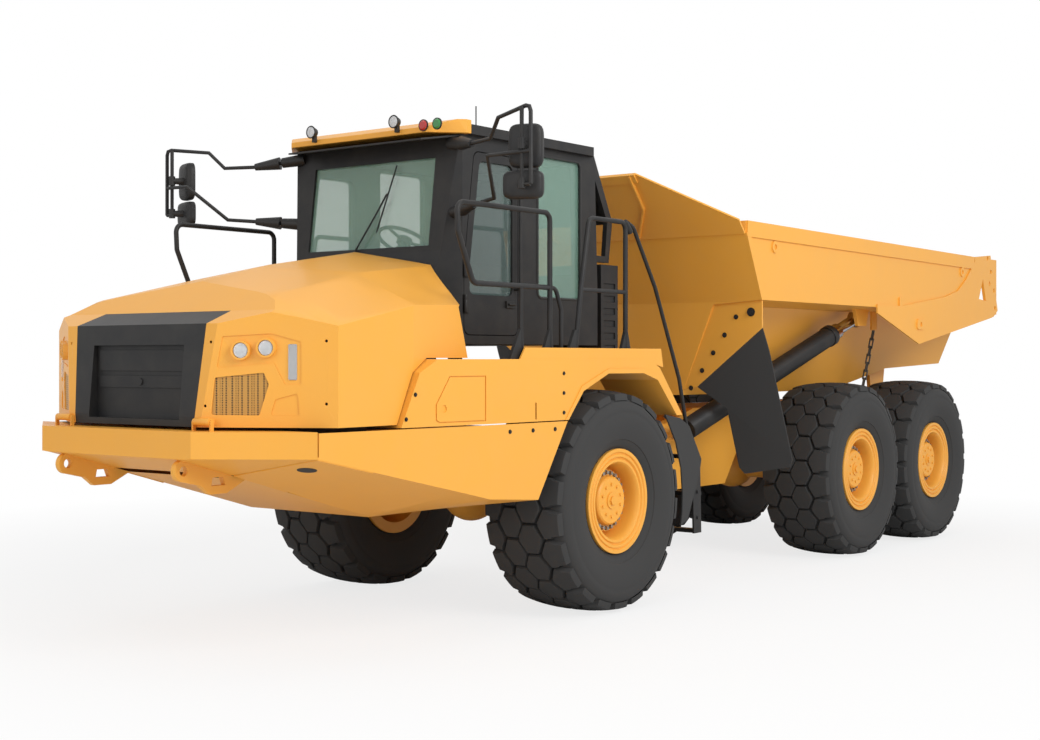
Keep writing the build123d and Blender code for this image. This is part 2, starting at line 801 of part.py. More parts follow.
def hood():
    """The hood's shell without its nose panel, with its lamp pods, mesh openings, trays and knuckles."""
    shell = hood_solid(0, hood_floor) - hood_solid(hood_wall, hood_floor - 60) - surround_block(0)
    cuts = panel_plate(pod_outline, -pod_recess, 60, 14) + panel_plate(tray_outline, -pod_recess, 60, 14)
    cuts += panel_plate(mesh_outline, -60, 60, 14) + panel_plate(slim_lamp, -60, 60, 10)
    for along, z in panel_bolts:
        cuts += panel_bar(along, z, -60, 60, panel_bolt_radius)
    bezels = []
    for along, z in pod_lamps:
        bezels.append(panel_bar(along, z, -hood_wall, lamp_bezel_reach, lamp_bezel_radius))
        cuts += panel_bar(along, z, -60, -hood_wall, lamp_radius + seat_gap)
    shell = shell - both(cuts)
    for bezel, (along, z) in zip(bezels, pod_lamps):
        ring = bezel - panel_bar(along, z, -60, 60, lamp_radius + seat_gap)
        shell = shell - both(panel_bar(along, z, -60, 1, lamp_radius + seat_gap)) + both(ring)
    return shell + hood_knuckles()


def hood_mesh():
    """The perforated panels that fill the openings under the lamps."""
    inset = seat_gap
    outline = [(58 + inset, 1511 + inset), (81 + inset, 1730 - inset), (375 - inset, 1759 - inset),
               (406 - inset, 1692), (349 - inset, 1509 + inset)]
    return both(panel_plate(outline, -mesh_depth - mesh_thickness, -mesh_depth, 14))


def hood_knuckles():
    """The hinge tubes at the hood's foot, turning about the bumper's top edge."""
    low, high = hood_hinge_y - hood_knuckle_length / 2, hood_hinge_y + hood_knuckle_length / 2
    tube = cross_bar(hood_hinge_x, hood_hinge_z, hood_hinge_radius, low, high)
    tube += box((hood_front_x - 60, low + 20, hood_hinge_z - 15),
                (hood_hinge_x, high - 30, hood_hinge_z + 15))
    return both(tube - cross_bar(hood_hinge_x, hood_hinge_z, hood_pin_radius + seat_gap, low - 1, high + 1))


def hood_ears():
    """The ears and pins on the bumper that carry the hood's hinge tubes."""
    low, high = hood_hinge_y - hood_knuckle_length / 2, hood_hinge_y + hood_knuckle_length / 2
    ears = cross_bar(hood_hinge_x, hood_hinge_z, hood_pin_radius, low - 14, high + 14)
    for y in (low - 14, high + 2):
        foot = bumper_top - bumper_wall / 2
        ears += box((hood_hinge_x - 12, y, foot), (hood_hinge_x + 12, y + 12, hood_hinge_z))
        ears += cross_bar(hood_hinge_x, hood_hinge_z, 12, y, y + 12)
    return both(ears)


def grille():
    """The black nose panel: a faceted surround round a recessed door with three bands and a latch."""
    shell = (hood_solid(0, hood_floor) - hood_solid(surround_wall,
                                                    hood_floor - 60)) & surround_block(seat_gap)
    half, face = grille_width / 2, hood_front_x
    shell -= box((face - 400, -half, grille_bottom), (face + 50, half, grille_top))
    door_face = face - grille_depth
    door = box((door_face - grille_door_wall, -half - 20, grille_bottom - 20),
               (door_face, half + 20, grille_top + 20))
    frame = box((door_face - grille_door_wall, -half - 20, grille_bottom - 20),
                (face - 12, half + 20, grille_top + 20))
    frame -= box((door_face - 100, -half, grille_bottom), (face + 50, half, grille_top))
    band = (grille_top - grille_bottom) / 20
    for low, high in ((8.4, 11.6), (13.0, 18.6)):
        door += box((door_face, -half + 30, grille_bottom + band * low),
                    (door_face + grille_band_depth, half - 30, grille_bottom + band * high))
    latch_z = grille_bottom + band * 10
    door += bar((door_face, 0, latch_z), (door_face + grille_band_depth + 8, 0, latch_z), 22)
    return shell + (frame & hood_solid(surround_wall - 1, hood_floor)) + door


def headlamps():
    """The lamps in the hood's front panels: two round ones and a slim upright one a side."""
    lamps = []
    for along, z in pod_lamps:
        lamps.append(panel_bar(along, z, -40, lamp_bezel_reach - 5, lamp_radius))
    low, high = slim_lamp[0][1] + seat_gap, slim_lamp[2][1] - seat_gap
    left, right = slim_lamp[0][0] + seat_gap, slim_lamp[1][0] - seat_gap
    lamps.append(panel_plate([(left, low), (right, low), (right, high), (left, high)], -30, -2, 10))
    return both(lamps[0] + lamps[1] + lamps[2])


def front_frame():
    """Two rails, cross-members and the forked end that holds the articulation pin."""
    inner, outer = rail_y - half_rail, rail_y + half_rail
    nose_x = bumper_front - bumper_wall - seat_gap
    outline = [(front_rail_rear_x, front_rail_bottom), (keel_knee_x, front_rail_bottom),
               (front_rail_knee_x + 770, front_rail_nose_z), (nose_x, front_rail_nose_z),
               (nose_x, front_rail_nose_top), (front_rail_knee_x + 400, front_rail_nose_top),
               (keel_knee_x, front_rail_top), (front_rail_rear_x, front_rail_top)]
    frame = both(side_plate(outline, inner, outer))
    for x in (600, 1300):
        frame += box((x - 100, -inner, front_rail_bottom), (x, inner, front_rail_bottom + 60))
    nose_tube_x = front_rail_knee_x + 770
    frame += box((nose_tube_x - 60, -inner, front_rail_nose_z),
                 (nose_tube_x + 20, inner, front_rail_nose_top))
    for x in (engine_front_x - 200, engine_front_x - engine_length + 200):
        pad = box((x - 60, engine_width / 2 + seat_gap, front_rail_top - 120),
                  (x + 60, inner, front_rail_top - 20))
        frame += both(pad)
    frame += box((front_rail_rear_x, -outer, pivot_plate_low),
                 (front_rail_rear_x + 60, outer, front_rail_top))
    for x in (-360, 1150):
        leg = box((x, inner, front_rail_top - 10), (x + 80, outer, deck_height - fender_wall - seat_gap))
        frame += both(leg)
    for z in (pivot_plate_low, pivot_plate_high):
        fork = plan_plate([(front_rail_rear_x + 30, -outer), (front_rail_rear_x + 30, outer),
                           (pivot_x + 60, 150), (pivot_x + 60, -150)], z, z + pivot_plate_thickness)
        boss = Cylinder(pivot_boss_radius, pivot_plate_thickness)
        frame += fork + Pos(pivot_x, 0, z + pivot_plate_thickness / 2) * boss
    hole = Pos(pivot_x, 0, pivot_plate_low) * Cylinder(pivot_pin_radius + seat_gap, 2000)
    return frame - hole


def power_unit():
    """The engine and its radiator as plain blocks between the rails."""
    half, radiator_half = engine_width / 2, radiator_width / 2
    engine = box((engine_front_x - engine_length, -half, engine_floor),
                 (engine_front_x, half, engine_floor + engine_height))
    radiator = box((radiator_x - radiator_depth, -radiator_half, front_rail_nose_top + seat_gap),
                   (radiator_x, radiator_half, radiator_top))
    return engine + radiator


# Cab

def cab_profile(inset):
    """The cab's side outline, smaller by an inset."""
    return [
        (cab_rear_x + inset, cab_floor + inset), (cab_front_x - inset, cab_floor + inset),
        (cab_front_x - inset, cab_waist_z - 250), (screen_base_x - inset, cab_waist_z),
        (screen_top_x - inset, cab_roof_z - inset), (cab_rear_x + cab_rear_lean + inset, cab_roof_z - inset),
        (cab_rear_x + inset, cab_floor + cab_rear_knee),
    ]


def cab_solid(inset):
    """The cab's whole form, smaller by an inset."""
    side = side_plate(cab_profile(inset), -cab_half_width + inset, cab_half_width - inset)
    nose, half = cab_nose_half_width - inset * 0.5, cab_half_width
    shoulder = cab_shoulder_x - inset * 0.5
    plan = plan_plate([(cab_front_x, -nose), (cab_front_x, nose), (shoulder, half), (cab_rear_x - 10, half),
                       (cab_rear_x - 10, -half), (shoulder, -half)], cab_floor - 10, cab_roof_z + 10)
    return side & plan


def door_outline(inset):
    """The door's side outline, smaller by an inset."""
    low, high = cab_floor + door_sill + inset, cab_floor + door_head - inset
    return [(door_front_x - inset, low), (door_rear_x + inset, low), (door_rear_x + inset, high),
            (door_front_x - door_lean - inset, high), (door_front_x - inset, cab_waist_z - 100)]


def door_window(inset):
    """The window in the door, smaller by an inset."""
    low, high = cab_floor + door_glass_foot + inset, cab_floor + door_head - door_frame - inset
    front, rear = door_front_x - door_frame - inset, door_rear_x + door_frame + inset
    return [(front, low), (rear, low), (rear, high), (front - door_lean, high), (front, cab_waist_z - 100)]


def rear_window(inset):
    """The fixed window behind the door, smaller by an inset."""
    low, high = cab_floor + door_glass_foot + inset, cab_floor + glass_head - inset
    front, rear = rear_glass_front_x - inset, rear_glass_rear_x + inset
    return [(front, low), (rear, low), (rear, high), (front, high)]


def screen_cutter(inset):
    """A block through the front wall for the windscreen, smaller by an inset."""
    half = cab_nose_half_width - 60 - inset
    low, high = cab_waist_z + 40 + inset, cab_floor + screen_head - inset
    return box((cab_shoulder_x - 40, -half, low), (cab_front_x + 60, half, high))


def back_cutter(inset):
    """A block through the rear wall for the back window, smaller by an inset."""
    half = back_glass_width / 2 - inset
    low, high = cab_floor + back_glass_foot + inset, cab_floor + glass_head - inset
    return box((cab_rear_x - 60, -half, low), (cab_rear_x + 120, half, high))


def side_cutter(outline, side, corner):
    """A side outline with rounded corners as a block through the left or right wall."""
    low, high = cab_half_width - 80, cab_half_width + 60
    if side > 0:
        return side_plate(outline, low, high, corner)
    return side_plate(outline, -high, -low, corner)


def cab_shell():
    """The cab's shell with its windows and door opening cut, its roof rim, visor and feet."""
    shell = cab_solid(0) - cab_solid(cab_wall)
    shell -= side_cutter(door_outline(-door_gap), 1, cab_corner)
    shell -= side_cutter(door_window(0), -1, window_corner)
    for side in (1, -1):
        shell -= side_cutter(rear_window(0), side, window_corner)
    shell = shell - screen_cutter(0) - back_cutter(0)
    for x in (cab_rear_x + 160, cab_front_x - 160):
        for y in (-500, 500):
            shell += bar((x, y, deck_height + seat_gap), (x, y, cab_floor + 5), cab_mount_radius)
    return shell + roof_rim() + visor() + door_pins()


def roof_rim():
    """The rim round the rear of the roof, behind the front cap."""
    front, half, low = roof_split_x, roof_half_width, cab_roof_z - 1
    rim = plan_plate([(front, -half), (front, half), (roof_rear_x + 40, half), (roof_rear_x, half - 40),
                      (roof_rear_x, 40 - half), (roof_rear_x + 40, -half)], low,
                      cab_roof_z + roof_thickness * 0.7)
    return rim + plan_plate([(front, 120 - half), (front, half - 120), (roof_rear_x + 120, half - 120),
                             (roof_rear_x + 120, 120 - half)], low, cab_roof_z + roof_thickness)


def visor():
    """The plate that shades the windscreen under the roof's front edge."""
    front, rear = roof_front_x + visor_reach - 20, screen_top_x - 10
    high, low = cab_roof_z - visor_thickness - 4, cab_roof_z - visor_drop
    return sheet([(rear, 20 - cab_half_width, high), (front, -cab_nose_half_width, low),
                  (front, cab_nose_half_width, low), (rear, cab_half_width - 20, high)],
                 visor_thickness, (0, 0, 1))


def door_pins():
    """The pins on the front door post that the door's hinge barrels turn on."""
    x, y = door_hinge()
    pins = []
    for z in door_hinge_heights():
        top = z + door_barrel_length + seat_gap
        lug = bar((x, y, top), (x, y, top + 34), door_hinge_radius)
        lug += box((x, cab_half_width - 10, top), (x + door_hinge_radius, y + 5, top + 34))
        pins.append(lug + bar((x, y, z), (x, y, top + 10), door_pin_radius))
    return pins[0] + pins[1]


def door_hinge_heights():
    """The heights at which the door's two hinge barrels begin."""
    return cab_floor + door_sill + 150, cab_waist_z - 180


def door_hinge():
    """Where the door's hinge line stands, just outside the cab's side."""
    return door_front_x + door_gap / 2, cab_half_width + door_hinge_outset


def cab_glass():
    """The fixed panes: windscreen, back window and side windows."""
    layer = cab_solid(glass_depth) - cab_solid(glass_depth + glass_thickness)
    panes = layer & screen_cutter(seat_gap)
    panes += layer & back_cutter(seat_gap)
    panes += layer & side_cutter(door_window(seat_gap), -1, window_corner)
    for side in (1, -1):
        panes += layer & side_cutter(rear_window(seat_gap), side, window_corner)
    return panes


def cab_door():
    """The left door, its window cut, with its hinge barrels in front."""
    shell = cab_solid(0) - cab_solid(cab_wall)
    leaf = shell & side_cutter(door_outline(0), 1, cab_corner)
    leaf -= side_cutter(door_window(0), 1, window_corner)
    hinge_x, hinge_y = door_hinge()
    for z in door_hinge_heights():
        top = z + door_barrel_length
        leaf += bar((hinge_x, hinge_y, z), (hinge_x, hinge_y, top), door_hinge_radius)
        leaf += box((door_front_x - 40, cab_half_width - 5, z), (hinge_x, hinge_y + 5, top))
        leaf -= bar((hinge_x, hinge_y, z - 1), (hinge_x, hinge_y, top + 1), door_pin_radius + seat_gap)
    return leaf


def door_glass():
    """The pane in the door."""
    layer = cab_solid(glass_depth) - cab_solid(glass_depth + glass_thickness)
    return layer & side_cutter(door_window(seat_gap), 1, window_corner)


def cab_roof():
    """The roof's front cap with its cut corners."""
    low, half = cab_roof_z + seat_gap, roof_half_width
    front, rear = roof_front_x, roof_split_x + seat_gap
    cap = plan_plate([(front, roof_corner - half), (front, half - roof_corner), (front - roof_corner, half),
                      (rear, half), (rear, -half), (front - roof_corner, -half)], low, low + roof_thickness)
    slope = side_plate([(front + 1, low + roof_thickness * 0.4), (front + 1, low + roof_thickness + 1),
                        (front - 160, low + roof_thickness + 1)], -half, half)
    return cap - slope


def roof_lamps():
    """The work lamps and marker lamps along the roof's front edge, and the aerial behind them."""
    low = cab_roof_z + roof_thickness + seat_gap * 2
    lamps = []
    for y in (520, 320, -320, -520):
        lamps.append(box((roof_front_x - 240, y - 20, low), (roof_front_x - 200, y + 20, low + 30)))
        lamps.append(bar((roof_front_x - 250, y, low + 66), (roof_front_x - 180, y, low + 66),
                         work_lamp_radius))
    for y in (110, -110):
        lamps.append(bar((roof_front_x - 220, y, low), (roof_front_x - 220, y, low + 60), beacon_radius))
    foot = box((antenna_x - 20, -20, low - seat_gap), (antenna_x + 20, 20, low + 15))
    aerial = foot + bar((antenna_x, 0, low), (antenna_x, 0, cab_floor + antenna_rise), antenna_radius)
    return lamps[0] + lamps[1:] + aerial


def cab_inside():
    """The driver's seat on its base, the console and the steering wheel on its column."""
    floor = cab_floor + cab_wall + seat_gap
    wheel_x, wheel_z, wheel_radius = 780, floor + 715, 200
    seat = box((-50, -250, floor), (350, 250, floor + 380))
    seat += box((-60, -260, floor + 380), (450, 260, floor + 500))
    seat += box((-160, -240, floor + 480), (-20, 240, floor + 1130))
    dash = box((900, -420, floor), (1120, 420, floor + 560))
    column = bar((900, 0, floor + 500), (wheel_x + 2, 0, wheel_z - 1), 35)
    wheel = Plane(origin=(wheel_x, 0, wheel_z), z_dir=(-110, 0, 200)) * Torus(wheel_radius, 16)
    spoke = bar((wheel_x + 90, 0, wheel_z + 50), (wheel_x - 165, 0, wheel_z - 90), 14)
    cross = bar((wheel_x, 5 - wheel_radius, wheel_z), (wheel_x, wheel_radius - 5, wheel_z), 12)
    return seat + dash + column + wheel + cross + spoke


def cab_guard():
    """The black guard behind the cab that shields the back window."""
    def wall_x(z):
        lean = cab_rear_lean * (z - cab_floor - cab_rear_knee) / (cab_height - cab_rear_knee)
        return cab_rear_x + lean - seat_gap

    low, high, outer = cab_floor + guard_foot_rise, cab_roof_z - 10, guard_half_width
    tip = cab_floor + guard_tip_rise
    frame = side_plate([(wall_x(low), low), (wall_x(high), high), (cab_rear_x - 40, high + 50),
                        (guard_tip_x, tip), (guard_tip_x + 50, low)], outer - guard_plate, outer)
    frame -= side_plate([(wall_x(low) - 50, low + 50), (wall_x(high) - 50, high - 60),
                         (guard_tip_x + 70, tip - 10),
                         (guard_tip_x + 100, low + 50)], outer - guard_plate - 10, outer + 10)
    top = sheet([(cab_rear_x - 40, guard_plate - outer, high + 50), (guard_tip_x, guard_plate - outer, tip),
                 (guard_tip_x, outer - guard_plate, tip), (cab_rear_x - 40, outer - guard_plate, high + 50)],
                20, (0, 0, -1))
    return both(frame) + top


def mirror_foot(front_x, front_y, side_x, side_y, z):
    """Where a mirror arm meets a slanted corner, and the direction straight out of it."""
    out = Vector(side_y - front_y, front_x - side_x, 0).normalized()
    middle = Vector((front_x + side_x) / 2, (front_y + side_y) / 2, z)
    return middle + out * seat_gap, out


def mirrors():
    """Two mirrors a side on bent arms from the cab's front posts."""
    top, high = cab_floor + mirror_top_rise, cab_floor + mirror_high_rise
    low = cab_floor + mirror_low_rise
    near_x, near_y = mirror_x - 120, mirror_y - 250
    foot, out = mirror_foot(roof_front_x, roof_half_width - roof_corner, roof_front_x - roof_corner,
                            roof_half_width, high)
    arm_high = pipe([foot, foot + out * mirror_arm_length, (near_x, near_y, high + 15),
                     (mirror_x, mirror_y, top - rail_tube_radius),
                     (mirror_x, mirror_y, cab_floor + mirror_foot_rise)], rail_tube_radius, mirror_bend)
    foot, out = mirror_foot(screen_top_x + 75, cab_half_width - 80, cab_shoulder_x, cab_half_width, low)
    arm_low = pipe([foot, foot + out * mirror_arm_length, (near_x, near_y, low + 15),
                    (mirror_x, mirror_y - 2, low + 15)], rail_tube_radius, mirror_bend)
    half, front = mirror_width / 2, mirror_x - rail_tube_radius + 3
    tall_foot = cab_floor + mirror_foot_rise + 350
    tall = box((front - mirror_shell_depth, mirror_y - half, tall_foot),
               (front, mirror_y + half, tall_foot + tall_mirror_height))
    small_foot = cab_floor + mirror_foot_rise + 60
    small = box((front - mirror_shell_depth, mirror_y - half, small_foot),
                (front, mirror_y + half, small_foot + small_mirror_height))
    return both(arm_high + arm_low + tall + small)


def rail_frame(points, radius=rail_tube_radius):
    """One bent rail in its own upright plane beside the deck."""
    return pipe([(x, rail_line_y, z) for x, z in points], radius, rail_bend)


# Columns: front edge and rear edge of the blade's foot, the post's place, the post's top as a share
# of the rails' height
rail_blades = [(1261.0, 1109.0, 1131.0), (919.0, 771.0, 805.0), (630.0, 475.0, 511.0),
               (-27.0, -198.0, -126.0)]


def rail_points(top, middle):
    """The rails' bends as (x, z) points: the front loop, its rear end, the rear loop and the long rail."""
    foot = deck_height + seat_gap
    front_loop = [(805, foot), (805, top), (1794, top), (1784, top - 190), (1634, middle), (830, middle)]
    front_end = [(840, middle), (740, middle), (675, middle - 150), (675, foot)]
    rear_loop = [(511, foot + 20), (440, middle), (338, top), (-126, top), (-126, foot)]
    long_rail = [(-150, top), (-230, top - 30), (-527, middle + 50), (-869, deck_height - 150), (-1080, 970)]
    return front_loop, front_end, rear_loop, long_rail


def handrails():
    """The rails along the deck's edge, with the blades and posts that carry them on the deck."""
    foot, top, middle = deck_height + seat_gap, deck_height + rail_rise, deck_height + rail_middle_rise
    front_loop, front_end, rear_loop, long_rail = rail_points(top, middle)
    rails = rail_frame(front_loop) + rail_frame(front_end, post_radius)
    rails += rail_frame(rear_loop) + rail_frame(long_rail, post_radius)
    rails += bar((1131, rail_line_y, foot), (1131, rail_line_y, middle), post_radius)
    rails += bar((450, rail_line_y, middle), (-126, rail_line_y, middle), post_radius)
    low, high = rail_line_y - blade_thickness / 2, rail_line_y + blade_thickness / 2
    for front, rear, post in rail_blades:
        outline = [(front, foot), (rear, foot), (post - 14, foot + blade_height),
                   (post + 14, foot + blade_height)]
        rails += side_plate(outline, low, high)
    return both(rails)


def ladders():
    """The steps behind the front wheels, with the bent guard panel beside them."""
    outer, top = half_body - 8, fender_tip_z - seat_gap
    hanger = [(fender_tip_x + 60, top), (fender_tip_x, top), (-970, 1390), (-1160, 1050), (-1150, 480),
              (-1080, 480), (-1080, 1040), (fender_tip_x - 30, 1330)]
    steps = side_plate(hanger, ladder_inner_y, ladder_inner_y + ladder_wall)
    panel = [(fender_tip_x + 250, top), (-819, 1386), (-951, 1321), (-1131, 1056), (-1150, 480),
             (-1040, 480),
             (-1020, 900), (-907, 1240)]
    steps += side_plate(panel, outer - ladder_wall, outer)
    for x, z in ((-1110, 480), (-1110, 770), (-1070, 1060)):
        steps += box((x - step_depth / 4, ladder_inner_y, z),
                     (x + step_depth / 4, outer, z + step_thickness))
    rail = rail_points(deck_height + rail_rise, deck_height + rail_middle_rise)[3]
    return both(steps - pipe([(x, rail_line_y, z) for x, z in rail], rail_tube_radius + 2, rail_bend))


def filter_box():
    """The air cleaner's housing behind the cab on the left, with a louvred side."""
    low, high = deck_height + seat_gap, deck_height + filter_rise
    body = box((filter_rear_x, filter_inner_y, low), (filter_front_x, filter_outer_y, high))
    pitch = (filter_rise - 160) / 6
    for k in range(6):
        z = low + 60 + k * pitch
        body -= box((filter_rear_x + 40, filter_outer_y - 12, z),
                    (filter_front_x - 40, filter_outer_y + 1, z + pitch / 2))
    return body


# Hitch and rear module

def hitch():
    """The column on the articulation pins, its steering arms and the roll tube behind it."""
    low = pivot_plate_low + pivot_plate_thickness + running_gap
    high = pivot_plate_high - running_gap
    body = bar((pivot_x, 0, low), (pivot_x, 0, high), hitch_column_radius)
    body += bar((pivot_x, 0, pivot_plate_low - 10), (pivot_x, 0,
                                                     pivot_plate_high + pivot_plate_thickness + 10),
                pivot_pin_radius)
    body += bar((pivot_x, 0, roll_axis_z), (roll_tube_end_x + 20, 0, roll_axis_z), roll_tube_radius)
    top = steer_z - steer_barrel_radius - running_gap - 8
    eye_x = pivot_x - steer_rear
    arm = plan_plate([(pivot_x + 60, 60), (eye_x - 65, 60), (eye_x - 65, steer_rear_y + 60),
                      (eye_x + 60, steer_rear_y + 60)], top - 40, top)
    boss = bar((eye_x, steer_rear_y, top - 5),
               (eye_x, steer_rear_y, steer_z - steer_eye_height / 2 - running_gap), 45)
    return body + both(arm + boss)


def rear_frame():
    """The rear frame: roll ring, box nose, two stepped rails, cross tubes and bed pivots."""
    inner, outer = rail_y - half_rail, rail_y + half_rail
    nose_rear = rear_box_front_x - 90
    nose = bar((roll_ring_front_x, 0, roll_axis_z), (rear_box_front_x, 0, roll_axis_z), roll_ring_radius)
    nose += box((nose_rear, -outer, rear_rail_bottom), (rear_box_front_x, outer, rear_nose_top))
    nose -= bar((roll_ring_front_x + 1, 0, roll_axis_z), (roll_tube_end_x, 0, roll_axis_z),
                roll_tube_radius + seat_gap)
    front = rear_box_front_x - 40
    outline = [(front, rear_rail_bottom), (rear_step_x, rear_rail_bottom),
               (rear_step_x - rear_step_run, rear_rail_rise),
               (rear_rail_end_x, rear_rail_rise), (rear_rail_end_x, rear_rail_top),
               (rear_shoulder_x, rear_rail_top),
               (front, rear_nose_top)]
    frame = nose + both(side_plate(outline, inner, outer))
    tube_z = (rear_rail_top + rear_rail_rise) / 2
    middle = (middle_axle_x + rear_axle_x) / 2
    for x in (rear_step_x + 150, middle, rear_rail_end_x + 70):
        frame += box((x - 60, -rail_y, tube_z - cross_tube_height / 2 + 20),
                     (x + 60, rail_y, tube_z + cross_tube_height / 2 - 20))
    frame += cross_bar(hoist_base_x - 60, hoist_base_z, 70, -rail_y - 220, rail_y + 220)
    return frame


def bogie_axles():
    """The two rear axles and the shafts that drive them."""
    span = differential_diameter / 2 - 20
    shaft = bar((middle_axle_x - span, 0, hub_z), (rear_axle_x + span, 0, hub_z), 60)
    front_shaft = bar((middle_axle_x + span, 0, hub_z), (roll_tube_end_x - 140, 0, hub_z), 60)
    return axle(middle_axle_x) + axle(rear_axle_x) + shaft + front_shaft


def bogie_beams():
    """The walking beam on each side, hung under the rails and carrying both axles."""
    middle = (middle_axle_x + rear_axle_x) / 2
    low, high = hub_z + axle_tube_diameter / 2 + seat_gap, rear_rail_rise - seat_gap
    outline = [(middle_axle_x + 130, low), (middle_axle_x + 130, low + 40), (middle + 150, high),
               (middle - 150, high), (rear_axle_x - 130, low + 40), (rear_axle_x - 130, low)]
    return both(side_plate(outline, rail_y - half_rail, rail_y + half_rail))


# Dump body

def bed_section(inset):
    """The body's cross-section, smaller by an inset and open upwards."""
    wall, floor = bed_half_width - inset, bed_floor_half_width - inset * 0.7
    shelf_z = bed_side_bottom - bed_shelf_drop + inset
    top = bed_front_z + (330 if inset else 60)
    left = [(wall, top), (wall, bed_side_bottom + inset), (bed_shelf_y - inset * 0.6, shelf_z),
            (floor, bed_floor_z + inset)]
    return left + [(-y, z) for y, z in reversed(left)]


def bed_outline(inset):
    """The body's side outline, smaller by an inset, open behind when inset."""
    tail = bed_tail_x + (-200 if inset else 0)
    top = bed_front_z + (330 if inset else 0)
    rear_top = top if inset else bed_rail_rear_z
    return [
        (bed_front_x - inset, top), (bed_front_x + 25 - inset, bed_front_z - 96),
        (bed_fold_x - inset, bed_fold_z),
        (bed_fold_x - 20 - inset, bed_floor_z + inset), (bed_floor_rise_x, bed_floor_z + inset),
        (bed_floor_rear_x, bed_floor_rear_z + inset), (tail, bed_tail_z + inset),
        (tail, rear_top), (bed_rail_rear_x, rear_top),
    ]


def bed_solid(inset):
    """The body's whole form, smaller by an inset."""
    block = cross_plate(bed_section(inset), bed_tail_x - 300, bed_front_x + 290)
    return block & side_plate(bed_outline(inset), -bed_half_width - 65, bed_half_width + 65)


def bed_rail():
    """The box rail along the left wall's top edge."""
    low = bed_rail_half_width - bed_rail_width
    return side_plate([(bed_front_x, bed_front_z), (bed_front_x + 10, bed_front_z - bed_rail_depth),
                       (bed_rail_rear_x, bed_rail_rear_z - bed_rail_depth),
                       (bed_rail_rear_x, bed_rail_rear_z)],
                      low, bed_rail_half_width)


# Columns: x and height of the round holes in the tail ear
ear_holes = [(-7081.0, 2933.0), (-7179.0, 2791.0), (-7140.0, 2663.0), (-7268.0, 2591.0), (-7298.0, 2400.0)]


def tail_ear():
    """The thick plate at the left wall's rear end, its curved foot running forward along the wall."""
    low, high = bed_rail_half_width - ear_thickness, bed_rail_half_width
    top, foot = bed_rail_rear_z, bed_side_bottom
    outline = [(bed_rail_rear_x - 13, top), (-7164, top + 39), (bed_tail_x, foot + 43), (-7250, foot - 30),
               (-4815, foot), (-4815, foot + 24), (-5507, foot + 104), (-5893, foot + 146),
               (-6240, foot + 220),
               (-6460, foot + 344), (bed_rail_rear_x - 13, foot + 547)]
    ear = side_plate(outline, low, high)
    gusset = [(-4268, foot + 24), (-4268, foot - 57), (-5233, foot - 342), (-7220, foot - 36), (-7220, foot + 24)]
    return ear + side_plate(gusset, high - bed_rail_reach, high)


def ear_cuts():
    """The round holes and the three-cornered window through the left tail ear."""
    low, high = bed_half_width - bed_wall - 1, bed_rail_half_width + 1
    cuts = side_plate([(-6943, 2704), (-6827, 2485), (-7031, 2469)], low, high)
    for x, z in ear_holes:
        cuts += cross_bar(x, z, boss_bore, low, high)
    return cuts


# Columns: x and height of the round bosses on the left wall
wall_bosses = [(-2265.0, 2780.0), (-6377.0, 2755.0)]


def wall_details():
    """The front corner strip, round bosses, chain lug and lower boss on the left wall."""
    outer = bed_half_width + corner_strip_reach
    strip = side_plate([(bed_front_x + 20, bed_front_z - 100),
                        (bed_front_x - corner_strip_width, bed_front_z - 100),
                        (bed_fold_x - corner_strip_width, bed_side_bottom),
                        (bed_fold_x + 20, bed_side_bottom)],
                       bed_half_width - 5, outer)
    strip = strip & side_plate(bed_outline(0), 0, outer)
    details = strip
    for x, z in wall_bosses:
        ring = cross_bar(x, z, boss_radius, bed_half_width - 5, bed_half_width + boss_reach)
        details += ring - cross_bar(x, z, boss_bore, bed_half_width, outer + boss_reach)
    lug = side_plate([(-4778, 2440), (-4858, 2440), (-4858, 2350), (-4778, 2350)], bed_half_width - 5,
                     outer, 12)
    lower = side_plate([(-5168, 2233), (-5348, 2233), (-5348, 2133), (-5168, 2133)], bed_rail_half_width - 5,
                       bed_rail_half_width + boss_reach, 40)
    lower -= cross_bar(-5258, 2183, boss_bore, bed_half_width, bed_rail_half_width + 2 * boss_reach)
    return details + lug + lower


def spill_guard():
    """The guard plate that leans forward over the front wall, with its flange and two bent ribs."""
    base_x, base_z = bed_front_x + 20, bed_front_z - 100
    run_x, run_z = spill_top_x - base_x, spill_top_z - base_z

    def point(y, z, out=0.0):
        share = (z - base_z) / run_z
        length = Vector(run_x, 0, run_z).length
        return base_x + run_x * share + out * run_z / length, y, z - out * run_x / length

    shoulder, half, top = bed_front_z + 5, bed_half_width, spill_half_width
    outline = [point(-half, base_z), point(-half, shoulder), point(-top, spill_top_z),
               point(top, spill_top_z),
               point(half, shoulder), point(half, base_z)]
    plate = sheet(outline, bed_wall, (run_z, 0, -run_x))
    flange = sheet([point(-top, spill_top_z), point(top, spill_top_z),
                    point(top, spill_top_z - spill_flange),
                    point(-top, spill_top_z - spill_flange)], bed_wall * 2, (run_z, 0, -run_x))
    bends = [(top - 40, spill_top_z - 8), (top - 48, spill_top_z - 260), (front_rib_y, base_z + 10)]
    ribs = []
    for (y_high, z_high), (y_low, z_low) in zip(bends, bends[1:]):
        ribs.append(sheet([point(y_high, z_high), point(y_low, z_low), point(y_low, z_low, rib_reach),
                           point(y_high, z_high, rib_reach)], bed_wall, (0, -1, 0)))
    return plate + flange + both(ribs[0] + ribs[1])


def hoist_bracket():
    """The plate under the left shelf that carries the hoist rod's pin."""
    y = hoist_eye_y + hoist_rod_radius + running_gap
    outline = [(hoist_eye_x - 90, hoist_eye_z - 60), (hoist_eye_x + 90, hoist_eye_z - 60),
               (hoist_eye_x + 160, bed_side_bottom), (hoist_eye_x - 160, bed_side_bottom)]
    return side_plate(outline, y, y + 30)


